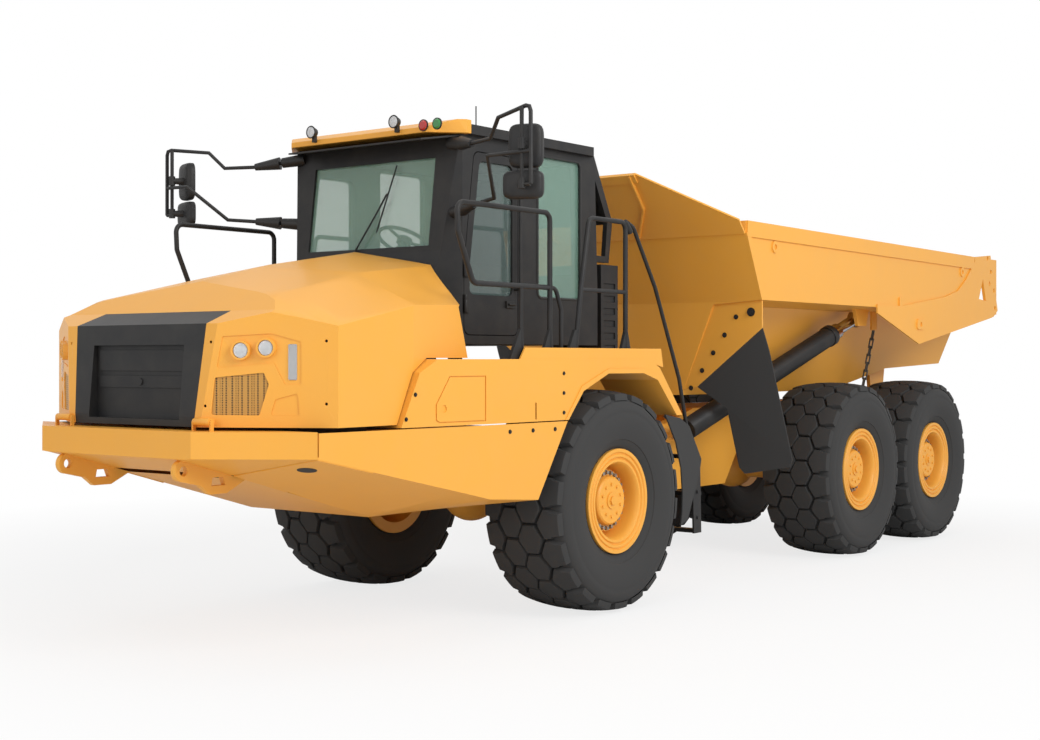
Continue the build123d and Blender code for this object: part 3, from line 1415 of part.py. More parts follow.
def bed_wing():
    """The plate in front of the left rear wheels that carries the mud flap."""
    behind = bed_fold_x - 20
    shelf = bed_side_bottom - bed_shelf_drop
    return cross_plate([(600, 1560), (800, 1600), (bed_half_width, flap_top_z),
                        (bed_half_width, bed_side_bottom + 40), (bed_shelf_y - 60, shelf)],
                       behind - bed_wall, behind)


def chain_hanger():
    """The plate under the left shelf that the chain hangs from."""
    return box((chain_x - 60, chain_top_y - 8, chain_top_z),
               (chain_x + 60, chain_top_y + 8, bed_side_bottom))


def dump_body():
    """The load body: walls, top rails, tail plates, spill guard, hoist plates and bed hinges."""
    body = bed_solid(0) - bed_solid(bed_wall)
    hinge_y = rail_y + half_rail + running_gap
    hinge = side_plate([(bed_pivot_x - 110, bed_pivot_z - 60), (bed_pivot_x + 110, bed_pivot_z - 60),
                        (bed_pivot_x + 200, bed_floor_rear_z + 20),
                        (bed_pivot_x - 200, bed_floor_rear_z + 20)],
                       hinge_y, hinge_y + bed_hinge_plate)
    hinge -= cross_bar(bed_pivot_x, bed_pivot_z, bed_pin_radius + seat_gap, hinge_y - 1,
                       hinge_y + bed_hinge_plate + 1)
    left = bed_rail() + tail_ear() + wall_details() + hoist_bracket() + bed_wing() + chain_hanger() + hinge
    return body + both(left) + spill_guard() - both(ear_cuts())


def chain_link(turn):
    """One squared link about the origin, its length along Z, turned about Z."""
    ring = Box(link_width, link_bar, link_length) - Box(link_width - 2 * link_bar, link_bar + 2,
                                                        link_length - 2 * link_bar)
    return Rot(0, 0, turn) * ring


def chains():
    """The chain on each side, drawn tight from the shelf towards the bogie."""
    top, foot = Vector(chain_x, chain_top_y, chain_top_z - 2), Vector(chain_x, chain_foot_y, chain_foot_z)
    down = (foot - top).normalized()
    pitch = link_length - 2 * link_bar - seat_gap
    links = []
    for k in range(chain_links):
        middle = top + down * (link_length / 2 + k * pitch)
        plane = Plane(origin=middle, x_dir=(1, 0, 0), z_dir=down)
        links.append(plane * chain_link(90 * (k % 2)))
    return links + [mirrored(link) for link in links]


def flap_point(y, z):
    """A point of the left flap's plane, which hangs back from the wing's slanted edge."""
    back = bed_fold_x - bed_wall - 20 - seat_gap
    down = (z - flap_top_z) * flap_lean_z - (y - bed_half_width + 5) * flap_lean_y
    return back + down, y, z


def mud_flaps():
    """The rubber flaps on the body's front wings."""
    edge = bed_half_width - 5
    outline = [(800, 1600), (edge, flap_top_z), (edge + 15, 1905), (edge + 20, 976), (edge - 10, 913),
               (1034, 843), (1000, 904), (1006, 1412)]
    flap = sheet([flap_point(y, z) for y, z in outline], flap_thickness, (-1, 0, 0))
    return both(flap)


def hinge_pins():
    """The bed's pins in the rear frame's rails."""
    out = rail_y + half_rail + running_gap + bed_hinge_plate + 15
    pin = cross_bar(bed_pivot_x, bed_pivot_z, bed_pin_radius, rail_y, out)
    boss = cross_bar(bed_pivot_x, bed_pivot_z, bed_pin_radius + 45, rail_y - half_rail, rail_y + half_rail)
    return pin + boss


# Cylinders

def hoist_points():
    """The hoist's base and eye at rest, as vectors."""
    base = Vector(hoist_base_x, hoist_base_y, hoist_base_z)
    eye = Vector(hoist_eye_x, hoist_eye_y, hoist_eye_z)
    return base, eye, (eye - base).normalized()


def hoist_barrel():
    """The left hoist's outer barrel and its base eye."""
    base, eye, along = hoist_points()
    half = hoist_eye_width / 2
    body = cross_bar(base.X, base.Z, hoist_eye_radius + 15, base.Y - half, base.Y + half)
    body += bar(base + along * 70, eye - along * 420, hoist_barrel_radius)
    body += bar(eye - along * 470, eye - along * 405, hoist_collar_radius)
    body -= bar(base + along * 140, eye - along * 400, hoist_stage_radius + seat_gap)
    return body - Pos(*base) * Sphere(hoist_ball_radius + seat_gap)


def hoist_stage():
    """The left hoist's middle stage."""
    base, eye, along = hoist_points()
    tube = bar((base + along * 150), (eye - along * 300), hoist_stage_radius)
    return tube - bar((base + along * 170), (eye - along * 280), hoist_rod_radius + seat_gap)


def hoist_rod():
    """The left hoist's rod and its eye."""
    base, eye, along = hoist_points()
    ring = cross_bar(eye.X, eye.Z, hoist_eye_radius, eye.Y - hoist_eye_width / 2,
                     eye.Y + hoist_eye_width / 2)
    return ring + bar((base + along * 180), eye, hoist_rod_radius)


def hoist_pins():
    """The stub pins on the rear frame, with the balls that the barrels turn on."""
    pin = cross_bar(hoist_base_x, hoist_base_z, hoist_pin_radius, hoist_base_y - 150, hoist_base_y)
    return pin + Pos(hoist_base_x, hoist_base_y, hoist_base_z) * Sphere(hoist_ball_radius)


def steer_points():
    """The steering cylinder's front and rear eyes at rest."""
    front = Vector(pivot_x + steer_front, steer_front_y, steer_z)
    rear = Vector(pivot_x - steer_rear, steer_rear_y, steer_z)
    return front, rear, (rear - front).normalized()


def steer_barrel():
    """The left steering cylinder's barrel, pinned to the front frame."""
    front, rear, along = steer_points()
    half = Vector(0, 0, steer_eye_height / 2)
    body = bar(front - half, front + half, steer_eye_radius)
    body += bar(front + along * 50, front + along * steer_barrel_length, steer_barrel_radius)
    body -= bar(front + along * 90, front + along * (steer_barrel_length + 10), steer_rod_radius + seat_gap)
    return body - bar(front - half * 3, front + half * 3, steer_pin_radius + seat_gap)


def steer_rod():
    """The left steering cylinder's rod, its eye and pin over the hitch's arm."""
    front, rear, along = steer_points()
    half = Vector(0, 0, steer_eye_height / 2)
    return bar(rear - half, rear + half, steer_eye_radius) + bar(rear - along * steer_rod_length, rear,
                                                                 steer_rod_radius)


def steer_pins():
    """The pins and ears on the front frame for the steering cylinders."""
    front, rear, along = steer_points()
    pin = bar((front + Vector(0, 0, -95)), (front + Vector(0, 0, 60)), steer_pin_radius)
    low = steer_z - steer_barrel_radius - running_gap
    ear = box((front.X - 60, front.Y - 60, low - 35), (front_rail_rear_x + 20, front.Y + 60, low))
    return both(pin + ear)


def build_all():
    """Build every piece once and give each its node name."""
    pieces = {}
    wheels = {"front": 0.0, "middle": middle_axle_x, "rear": rear_axle_x}
    one_tyre, one_rim = tyre(), rim()
    for place, x in wheels.items():
        for side, word in ((1, "left"), (-1, "right")):
            pieces[f"tyre_{place}_{word}"] = placed(one_tyre, x, side)
            pieces[f"rim_{place}_{word}"] = placed(one_rim, x, side)
    pieces["front_axle"] = front_axle()
    pieces["belly_and_skirts"] = belly_and_skirts()
    pieces["bumper"] = bumper()
    pieces["fenders"] = fenders()
    pieces["hood"] = hood()
    pieces["hood_mesh"] = hood_mesh()
    pieces["grille"] = grille()
    pieces["headlamps"] = headlamps()
    pieces["front_frame"] = front_frame() + steer_pins()
    pieces["power_unit"] = power_unit()
    pieces["cab_shell"] = cab_shell()
    pieces["cab_glass"] = cab_glass()
    pieces["cab_door"] = cab_door()
    pieces["door_glass"] = door_glass()
    pieces["cab_roof"] = cab_roof()
    pieces["roof_lamps"] = roof_lamps()
    pieces["cab_inside"] = cab_inside()
    pieces["cab_guard"] = cab_guard()
    pieces["mirrors"] = mirrors()
    pieces["handrails"] = handrails()
    pieces["ladders"] = ladders()
    pieces["filter_box"] = filter_box()
    pieces["hitch"] = hitch()
    pieces["rear_frame"] = rear_frame() + both(hinge_pins()) + both(hoist_pins())
    pieces["bogie_axles"] = bogie_axles()
    pieces["bogie_beams"] = bogie_beams()
    pieces["dump_body"] = dump_body()
    pieces["chains"] = Compound(children=chains())
    pieces["mud_flaps"] = mud_flaps()
    cylinders = {"hoist_barrel": hoist_barrel(), "hoist_stage": hoist_stage(), "hoist_rod": hoist_rod(),
                 "steer_barrel": steer_barrel(), "steer_rod": steer_rod()}
    for name, shape in cylinders.items():
        pieces[f"{name}_left"] = shape
        pieces[f"{name}_right"] = mirrored(shape)
    return pieces


for name, shape in build_all().items():
    save(name, shape)
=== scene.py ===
"""Dresses an articulated dump truck: finishes, fine parts, camera and studio light."""
import logging
import math
from dataclasses import dataclass
from enum import Enum
from typing import ClassVar, Iterable, Sequence

import bmesh
import bpy
from mathutils import Matrix, Quaternion, Vector


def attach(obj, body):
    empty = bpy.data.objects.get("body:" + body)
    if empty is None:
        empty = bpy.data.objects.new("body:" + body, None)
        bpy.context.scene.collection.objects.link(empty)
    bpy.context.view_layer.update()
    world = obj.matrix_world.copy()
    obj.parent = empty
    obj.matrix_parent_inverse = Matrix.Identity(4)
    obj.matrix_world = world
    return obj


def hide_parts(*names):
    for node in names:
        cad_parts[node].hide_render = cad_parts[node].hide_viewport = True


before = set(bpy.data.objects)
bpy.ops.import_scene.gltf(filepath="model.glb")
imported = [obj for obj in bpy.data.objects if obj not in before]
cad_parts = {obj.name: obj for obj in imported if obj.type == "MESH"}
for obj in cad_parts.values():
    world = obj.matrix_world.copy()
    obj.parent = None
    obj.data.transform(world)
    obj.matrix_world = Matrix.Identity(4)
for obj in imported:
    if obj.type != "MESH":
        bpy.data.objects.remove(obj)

LOG = logging.getLogger("dump_truck")
Pair = tuple[float, float]
Point = tuple[float, float, float]
Colour = tuple[float, float, float]
Four = tuple[float, float, float, float]
Vert = bmesh.types.BMVert
Line = list[Vert]
Node = bpy.types.Node
Socket = bpy.types.NodeSocket

# The part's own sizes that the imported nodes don't give as a corner, in metres
FRONT_AXLE_X = 1.986
WHEEL_Y = 1.085
TYRE_RADIUS = 0.8085
AXLES = {"front": 0.0, "middle": -4.06, "rear": -5.76}
SIDES = {"left": 1.0, "right": -1.0}
FORWARD = Vector((1, 0, 0))
UP = Vector((0, 0, 1))


def srgb(red: int, green: int, blue: int) -> Colour:
    """Turn a colour of 0 to 255 a channel into linear light.

    Args:
        red: The red channel.
        green: The green channel.
        blue: The blue channel.

    Returns:
        The three linear channels.
    """
    def linear(channel: int) -> float:
        """Linear light of one channel."""
        share = channel / 255
        return share / 12.92 if share <= 0.04045 else ((share + 0.055) / 1.055) ** 2.4
    return linear(red), linear(green), linear(blue)


def row(x: float, y: float, z: float, side: float = 1.0) -> Vector:
    """A point measured from under the front axle, on the left or right side, in the row frame."""
    return Vector((x + FRONT_AXLE_X, side * y, z))


def round_angles(steps: int) -> list[float]:
    """The angles of evenly spaced steps round a circle, in radians."""
    return [2 * math.pi * i / steps for i in range(steps)]


def in_scene(name: str, data: bpy.types.ID) -> bpy.types.Object:
    """Make an object of a mesh, lamp or camera and put it in the scene.

    Args:
        name: The object's name.
        data: The mesh, lamp or camera.

    Returns:
        The object.
    """
    made = bpy.data.objects.new(name, data)
    bpy.context.scene.collection.objects.link(made)
    return made


# Finishes

class Nodes:
    """Adds shader nodes to a material or world, each with its values and links in one call."""

    def __init__(self, owner: bpy.types.Material | bpy.types.World, empty: bool = False) -> None:
        """Start on the nodes of a material or world.

        Args:
            owner: The material or world.
            empty: Whether its first nodes are taken out.
        """
        owner.use_nodes = True
        self.tree = owner.node_tree
        if empty:
            self.tree.nodes.clear()

    def add(self, kind: str, inputs: dict | None = None, **settings: str) -> Node:
        """Add one node.

        Args:
            kind: The node's type, without its prefix.
            inputs: A value, or another node's output, for each input.
            settings: The node's own settings.

        Returns:
            The node.
        """
        node = self.tree.nodes.new("ShaderNode" + kind)
        for key, value in settings.items():
            setattr(node, key, value)
        self.fill(node, inputs or {})
        return node

    def fill(self, node: Node, inputs: dict) -> None:
        """Give a node's inputs their values and links.

        Args:
            node: The node.
            inputs: A value, or another node's output, for each input.
        """
        for key, value in inputs.items():
            if isinstance(value, Socket):
                self.tree.links.new(value, node.inputs[key])
            else:
                node.inputs[key].default_value = value


class Grain(Enum):
    """The kinds of surface relief that a finish can have."""

    PLAIN = "plain"
    FINE = "fine"
    CELLS = "cells"
    WOVEN = "woven"
    # PUNCHED also paints its holes near-black, as painted shade
    PUNCHED = "punched"


@dataclass(frozen=True)
class Surface:
    """What a piece's surface is made of."""

    name: str

    def material(self) -> bpy.types.Material:
        """Build the surface's material once and reuse it.

        Returns:
            The material.
        """
        found = bpy.data.materials.get(self.name)
        if found:
            return found
        made = bpy.data.materials.new(self.name)
        nodes = Nodes(made)
        self.dress(nodes, nodes.tree.nodes["Principled BSDF"])
        return made

    def dress(self, nodes: Nodes, shader: Node) -> None:
        """Set the surface shader, and add the nodes that feed it."""
        raise NotImplementedError


@dataclass(frozen=True)
class Finish(Surface):
    """A finish of paint, rubber, metal, plastic or cloth."""

    colour: Colour
    roughness: float = 0.5
    metallic: float = 0.0
    coat: float = 0.0
    specular: float = 0.5
    grain: Grain = Grain.PLAIN
    grain_size: float = 0.01
    relief: float = 0.1
    tone_shift: float = 0.06
    tone_size: float = 1.2
    dust: float = 0.0
    dust_colour: Colour = (0.42, 0.36, 0.27)
    dust_scale: float = 7.0
    roughness_shift: float = 0.06
    least_roughness: float = 0.02
    coat_roughness: float = 0.12
    tone_ends: Pair = (0.3, 0.7)
    dust_edge: Pair = (0.35, 0.75)
    relief_share: float = 0.15
    thread_share: float = 0.3
    hole_edge: Pair = (0.30, 0.36)
    # The holes' near-black colour is painted shade, standing in for the dark space seen through each hole
    hole_shade_colour: Colour = (0.002, 0.002, 0.002)
    panel_turn: float = 31.2

    def dress(self, nodes: Nodes, shader: Node) -> None:
        """Set the surface shader, and add the nodes that feed it.

        Args:
            nodes: The material's nodes.
            shader: The surface shader.
        """
        nodes.fill(shader, {"Metallic": self.metallic, "Coat Weight": self.coat,
                            "Coat Roughness": self.coat_roughness, "Specular IOR Level": self.specular})
        self._tone(nodes, shader)
        self._relief(nodes, shader)

    def _tone(self, nodes: Nodes, shader: Node) -> None:
        """Give the colour a slow drift, and a film of dust, thicker in random patches.

        Args:
            nodes: The material's nodes.
            shader: The surface shader.
        """
        place = nodes.add("TexCoord").outputs["Object"]
        drift = nodes.add("TexNoise", {"Scale": 1 / self.tone_size, "Detail": 5, "Vector": place}).outputs["Fac"]
        ramp = nodes.add("ValToRGB", {"Fac": drift})
        shares = (1 - self.tone_shift, 1 + self.tone_shift)
        for end, position, share in zip(ramp.color_ramp.elements, self.tone_ends, shares):
            end.position = position
            end.color = (*(min(1, c * share) for c in self.colour), 1)
        colour = ramp.outputs["Color"]
        if self.dust:
            colour = self._dusted(nodes, place, colour)
        rough = nodes.add("MapRange", {"Value": drift, "To Max": min(1, self.roughness + self.roughness_shift),
                                       "To Min": max(self.least_roughness, self.roughness - self.roughness_shift)})
        nodes.fill(shader, {"Base Color": colour, "Roughness": rough.outputs["Result"]})

    def _dusted(self, nodes: Nodes, place: Socket, colour: Socket) -> Socket:
        """Lay a thin film of dust over a colour, thicker in patches.

        Args:
            nodes: The material's nodes.
            place: The place on the surface.
            colour: The clean colour.

        Returns:
            The dusted colour.
        """
        patches = nodes.add("TexNoise", {"Scale": self.dust_scale, "Detail": 8, "Vector": place})
        thin, thick = self.dust_edge
        amount = nodes.add("MapRange", {"Value": patches.outputs["Fac"], "From Min": thin, "From Max": thick,
                                        "To Max": self.dust})
        return nodes.add("Mix", {"Factor": amount.outputs["Result"], "A": colour, "B": (*self.dust_colour, 1)},
                         data_type="RGBA").outputs["Result"]

    def _relief(self, nodes: Nodes, shader: Node) -> None:
        """Give the surface its fine relief.

        Args:
            nodes: The material's nodes.
            shader: The surface shader.
        """
        if self.grain is Grain.PLAIN:
            return
        place = nodes.add("TexCoord").outputs["Object"]
        if self.grain is Grain.PUNCHED:
            height = self._punched(nodes, place, shader)
        elif self.grain is Grain.WOVEN:
            height = self._woven(nodes, place)
        else:
            kind = "TexVoronoi" if self.grain is Grain.CELLS else "TexNoise"
            height = nodes.add(kind, {"Scale": 1 / self.grain_size, "Vector": place}).outputs[0]
        bump = nodes.add("Bump", {"Strength": self.relief, "Height": height,
                                  "Distance": self.grain_size * self.relief_share})
        nodes.fill(shader, {"Normal": bump.outputs["Normal"]})

    def _woven(self, nodes: Nodes, place: Socket) -> Socket:
        """Cross two sets of threads.

        Args:
            nodes: The material's nodes.
            place: The place on the surface.

        Returns:
            The weave's height.
        """
        warp, weft = (nodes.add("TexWave", {"Scale": self.thread_share / self.grain_size, "Vector": place},
                                bands_direction=direction).outputs["Fac"] for direction in ("X", "Y"))
        return nodes.add("Math", {0: warp, 1: weft}, operation="MAXIMUM").outputs[0]

    def _punched(self, nodes: Nodes, place: Socket, shader: Node) -> Socket:
        """Punch rows of holes in a panel that stands at the pods' angle; the holes are painted near-black, painted
        shade of the space behind the panel.

        Args:
            nodes: The material's nodes.
            place: The place on the surface.
            shader: The surface shader.

        Returns:
            The height, low inside each hole.
        """
        parts = nodes.add("SeparateXYZ", {0: place}).outputs
        out_from_middle = nodes.add("Math", {0: parts["Y"]}, operation="ABSOLUTE").outputs[0]
        folded = nodes.add("CombineXYZ", {"X": parts["X"], "Y": out_from_middle, "Z": parts["Z"]}).outputs[0]
        turned = nodes.add("Mapping", {"Vector": folded, "Rotation": (0, 0, math.radians(self.panel_turn)),
                                       "Scale": (0, 1 / self.grain_size, 1 / self.grain_size)}).outputs[0]
        cells = nodes.add("TexVoronoi", {"Vector": turned, "Scale": 1, "Randomness": 0}).outputs["Distance"]
        near, far = self.hole_edge
        metal = nodes.add("MapRange", {"Value": cells, "From Min": near, "From Max": far}).outputs["Result"]
        # Painted shade: the inside of each hole takes the near-black hole colour
        colour = nodes.add("Mix", {"Factor": metal, "A": (*self.hole_shade_colour, 1), "B": (*self.colour, 1)},
                           data_type="RGBA").outputs["Result"]
        nodes.fill(shader, {"Base Color": colour})
        return metal


@dataclass(frozen=True)
class Pane(Surface):
    """Clear or tinted glass."""

    tint: Colour
    clear: float = 0.85
    roughness: float = 0.02
    bending: float = 1.45

    def dress(self, nodes: Nodes, shader: Node) -> None:
        """Set the surface shader."""
        nodes.fill(shader, {"Base Color": (*self.tint, 1), "Roughness": self.roughness, "IOR": self.bending,
                            "Alpha": 1 - self.clear, "Coat Weight": 1.0, "Coat Roughness": self.roughness})


class Palette:
    """Every finish on the machine."""

    YELLOW = Finish("yellow_enamel", srgb(238, 170, 66), 0.44, coat=0.06, specular=0.35, grain=Grain.FINE,
                    grain_size=0.012, relief=0.05, tone_shift=0.03, tone_size=1.6, dust=0.03)
    BLACK = Finish("satin_black", srgb(34, 34, 35), 0.5, coat=0.02, specular=0.28, grain=Grain.FINE,
                   grain_size=0.008, relief=0.08, tone_shift=0.10, tone_size=0.7, dust=0.025)
    RUBBER = Finish("tyre_rubber", srgb(27, 26, 25), 0.8, specular=0.15, grain=Grain.FINE, grain_size=0.004,
                    relief=0.25, tone_shift=0.12, tone_size=0.35, dust=0.025)
    FLAP = Finish("flap_rubber", srgb(62, 61, 60), 0.7, grain=Grain.FINE, grain_size=0.006,
                  relief=0.2, dust=0.06)
    GLASS = Pane("cab_glass_tint", srgb(150, 190, 172), 0.66)
    SMOKE = Pane("door_glass_tint", srgb(104, 122, 118), 0.58)
    LENS = Pane("lamp_lens", srgb(235, 238, 240), 0.62)
    RED = Finish("red_lens", srgb(176, 34, 30), 0.2, coat=0.6, grain=Grain.CELLS, grain_size=0.006, relief=0.2)
    GREEN = Finish("green_lens", srgb(44, 128, 62), 0.2, coat=0.6, grain=Grain.CELLS, grain_size=0.006,
                   relief=0.2)
    CHROME = Finish("polished_rod", srgb(196, 198, 202), 0.16, metallic=1.0, grain=Grain.FINE, grain_size=0.003,
                    relief=0.03, tone_shift=0.04, tone_size=0.3)
    ZINC = Finish("zinc_bolts", srgb(150, 148, 142), 0.42, metallic=0.85, grain=Grain.FINE, grain_size=0.003,
                  relief=0.12, tone_size=0.1)
    MIRROR = Finish("mirror_silver", srgb(212, 218, 222), 0.04, metallic=1.0, tone_shift=0.02)
    PLASTIC = Finish("cab_plastic", srgb(58, 60, 60), 0.6, grain=Grain.CELLS, grain_size=0.004, relief=0.2)
    FABRIC = Finish("seat_fabric", srgb(52, 54, 60), 0.92, grain=Grain.WOVEN, grain_size=0.004, relief=0.6,
                    tone_shift=0.12, tone_size=0.15)
    # The punched panel's holes are painted near-black, painted shade of the space behind
    PUNCHED = Finish("punched_panel", srgb(190, 140, 62), 0.5, grain=Grain.PUNCHED, grain_size=0.014, relief=0.8)
    CAST = Finish("cast_iron", srgb(72, 70, 67), 0.65, metallic=0.3, grain=Grain.FINE, grain_size=0.006,
                  relief=0.4, tone_shift=0.12, dust=0.15)


# Mesh making

class Shape:
    """Gathers the faces of one piece and turns them into one object."""

    def __init__(self, name: str) -> None:
        """Start an empty shape.

        Args:
            name: The piece's name.
        """
        self.name = name
        self.mesh = bmesh.new()
        self.finishes: list[Surface] = []
        self.slot = 0

    def use(self, finish: Surface) -> "Shape":
        """Give the faces made from now on a finish.

        Args:
            finish: The finish.

        Returns:
            The shape itself.
        """
        if finish not in self.finishes:
            self.finishes.append(finish)
        self.slot = self.finishes.index(finish)
        return self

    def face(self, corners: Sequence[Vert]) -> None:
        """Add one face between vertices."""
        made = self.mesh.faces.new(corners)
        made.material_index = self.slot

    def ring(self, points: Iterable[Vector]) -> Line:
        """Add a row of vertices."""
        return [self.mesh.verts.new(p) for p in points]

    def bridge(self, first: Line, second: Line, closed: bool = True) -> None:
        """Join two rows of vertices with faces.

        Args:
            first: One row.
            second: The other row, as long as the first.
            closed: Whether the rows run round.
        """
        count = len(first)
        for i in range(count if closed else count - 1):
            j = (i + 1) % count
            self.face((first[i], first[j], second[j], second[i]))

    def skin(self, rows: Sequence[Line], closed: bool = True) -> None:
        """Join each row of vertices to the next.

        Args:
            rows: The rows, all as long.
            closed: Whether the rows run round.
        """
        for first, second in zip(rows, rows[1:]):
            self.bridge(first, second, closed)

    @staticmethod
    def edge(rows: Sequence[list]) -> list:
        """Walk round the edge of a grid of points or vertices.

        Args:
            rows: The grid's rows.

        Returns:
            Those on its edge, in order.
        """
        around = list(rows[0])
        around += [line[-1] for line in rows[1:-1]]
        around += rows[-1][::-1]
        around += [line[0] for line in rows[-2:0:-1]]
        return around

    def slab(self, outline: Sequence[Vector], depth: Vector) -> None:
        """Add a flat plate.

        Args:
            outline: The corners of one face.
            depth: The run through its thickness.
        """
        near = self.ring(outline)
        far = self.ring(p + depth for p in outline)
        self.bridge(near, far)
        self.face(near[::-1])
        self.face(far)

    def box(self, low: Sequence[float], high: Sequence[float]) -> None:
        """Add a box.

        Args:
            low: Its low corner.
            high: Its high corner.
        """
        x0, y0, z0 = low
        x1, y1, z1 = high
        base = [Vector(p) for p in ((x0, y0, z0), (x1, y0, z0), (x1, y1, z0), (x0, y1, z0))]
        self.slab(base, Vector((0, 0, z1 - z0)))

    def circle(self, centre: Vector, turn: Matrix | Quaternion, radius: float, sides: int) -> Line:
        """Add a circle of vertices.

        Args:
            centre: Its middle.
            turn: The rotation that takes it from flat to its place.
            radius: Its radius.
            sides: How many vertices it has.

        Returns:
            The vertices.
        """
        return self.ring(centre + turn @ Vector((radius * math.cos(a), radius * math.sin(a), 0))
                         for a in round_angles(sides))

    def rod(self, start: Vector, end: Vector, radius: float, sides: int = 16, end_radius: float | None = None) -> None:
        """Add a round bar or cone.

        Args:
            start: The middle of one end.
            end: The middle of the other end.
            radius: The radius at the start.
            sides: How many sides it has.
            end_radius: The radius at the end, if it differs.
        """
        turn = (end - start).to_track_quat("Z", "Y").to_matrix()
        near = self.circle(start, turn, radius, sides)
        far = self.circle(end, turn, radius if end_radius is None else end_radius, sides)
        self.bridge(near, far)
        self.face(near[::-1])
        self.face(far)

    def turned(self, profile: Sequence[Pair], centre: Vector, steps: int) -> None:
        """Turn a profile about a wheel's axis.

        Args:
            profile: Its points of (y, radius), in order.
            centre: The wheel's middle.
            steps: How many steps go round.
        """
        self.skin([self.ring(centre + Vector((radius * math.cos(a), y, radius * math.sin(a)))
                             for a in round_angles(steps)) for y, radius in profile])

    def tube(self, points: Sequence[Vector], radius: float, sides: int) -> None:
        """Add a round tube through points, mitred where it bends.

        Args:
            points: The tube's middle line.
            radius: Its radius.
            sides: How many sides it has.
        """
        rings = []
        turn = UP.rotation_difference((points[1] - points[0]).normalized())
        for i, point in enumerate(points):
            before = (point - points[max(i - 1, 0)]).normalized()
            after = (points[min(i + 1, len(points) - 1)] - point).normalized()
            turn = (turn @ UP).rotation_difference((before + after).normalized()) @ turn
            rings.append(self.circle(point, turn, radius, sides))
        self.skin(rings)
        self.face(rings[0][::-1])
        self.face(rings[-1])

    def hoop(self, centre: Vector, axis: Vector, radius: float, thickness: float, steps: int,
             core_sides: int = 10) -> None:
        """Add a round ring.

        Args:
            centre: The ring's middle.
            axis: The direction that it turns about.
            radius: From the middle to the ring's core.
            thickness: The core's radius.
            steps: How many steps go round.
            core_sides: How many sides the core has.
        """
        along = axis.normalized()
        turn = UP.rotation_difference(along)
        rings = []
        for a in round_angles(steps):
            out = turn @ Vector((math.cos(a), math.sin(a), 0))
            rings.append(self.ring(centre + out * (radius + thickness * math.cos(b)) + along * thickness * math.sin(b)
                                   for b in round_angles(core_sides)))
        self.skin(rings + rings[:1])

    def build(self, body: str, smooth_degrees: float = 35.0, bevel: float = 0.0) -> bpy.types.Object:
        """Make the object, shade it and let it ride on a body.

        Args:
            body: The body that it moves with.
            smooth_degrees: Edges sharper than this stay sharp.
            bevel: The width of the rounding on its edges.

        Returns:
            The object.
        """
        bmesh.ops.recalc_face_normals(self.mesh, faces=self.mesh.faces)
        data = bpy.data.meshes.new(self.name)
        self.mesh.to_mesh(data)
        self.mesh.free()
        for finish in self.finishes:
            data.materials.append(finish.material())
        made = in_scene(self.name, data)
        data.shade_smooth()
        data.set_sharp_from_angle(angle=math.radians(smooth_degrees))
        if bevel:
            round_edges(made, bevel)
        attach(made, body)
        return made


@dataclass(frozen=True)
class Bar:
    """A round bar between two places on the machine."""

    start: Point
    end: Point
    radius: float
    sides: int = 12

    def add(self, shape: Shape, side: float = 1.0) -> None:
        """Add the bar to a piece, on the left or right side."""
        shape.rod(row(*self.start, side), row(*self.end, side), self.radius, self.sides)


def round_edges(piece: bpy.types.Object, width: float) -> None:
    """Round a piece's sharp edges a little, as bent and ground plate has them.

    Args:
        piece: The piece.
        width: The width of the rounding.
    """
    bevel = piece.modifiers.new("rounding", "BEVEL")
    bevel.width = width
    bevel.segments = 2
    bevel.limit_method = "ANGLE"
    bevel.angle_limit = math.radians(32)
    bevel.use_clamp_overlap = True
    bevel.harden_normals = True


# Wheels

def wheel_centre(place: str, side: str) -> Vector:
    """The middle of one wheel."""
    return row(AXLES[place], WHEEL_Y, TYRE_RADIUS, SIDES[side])


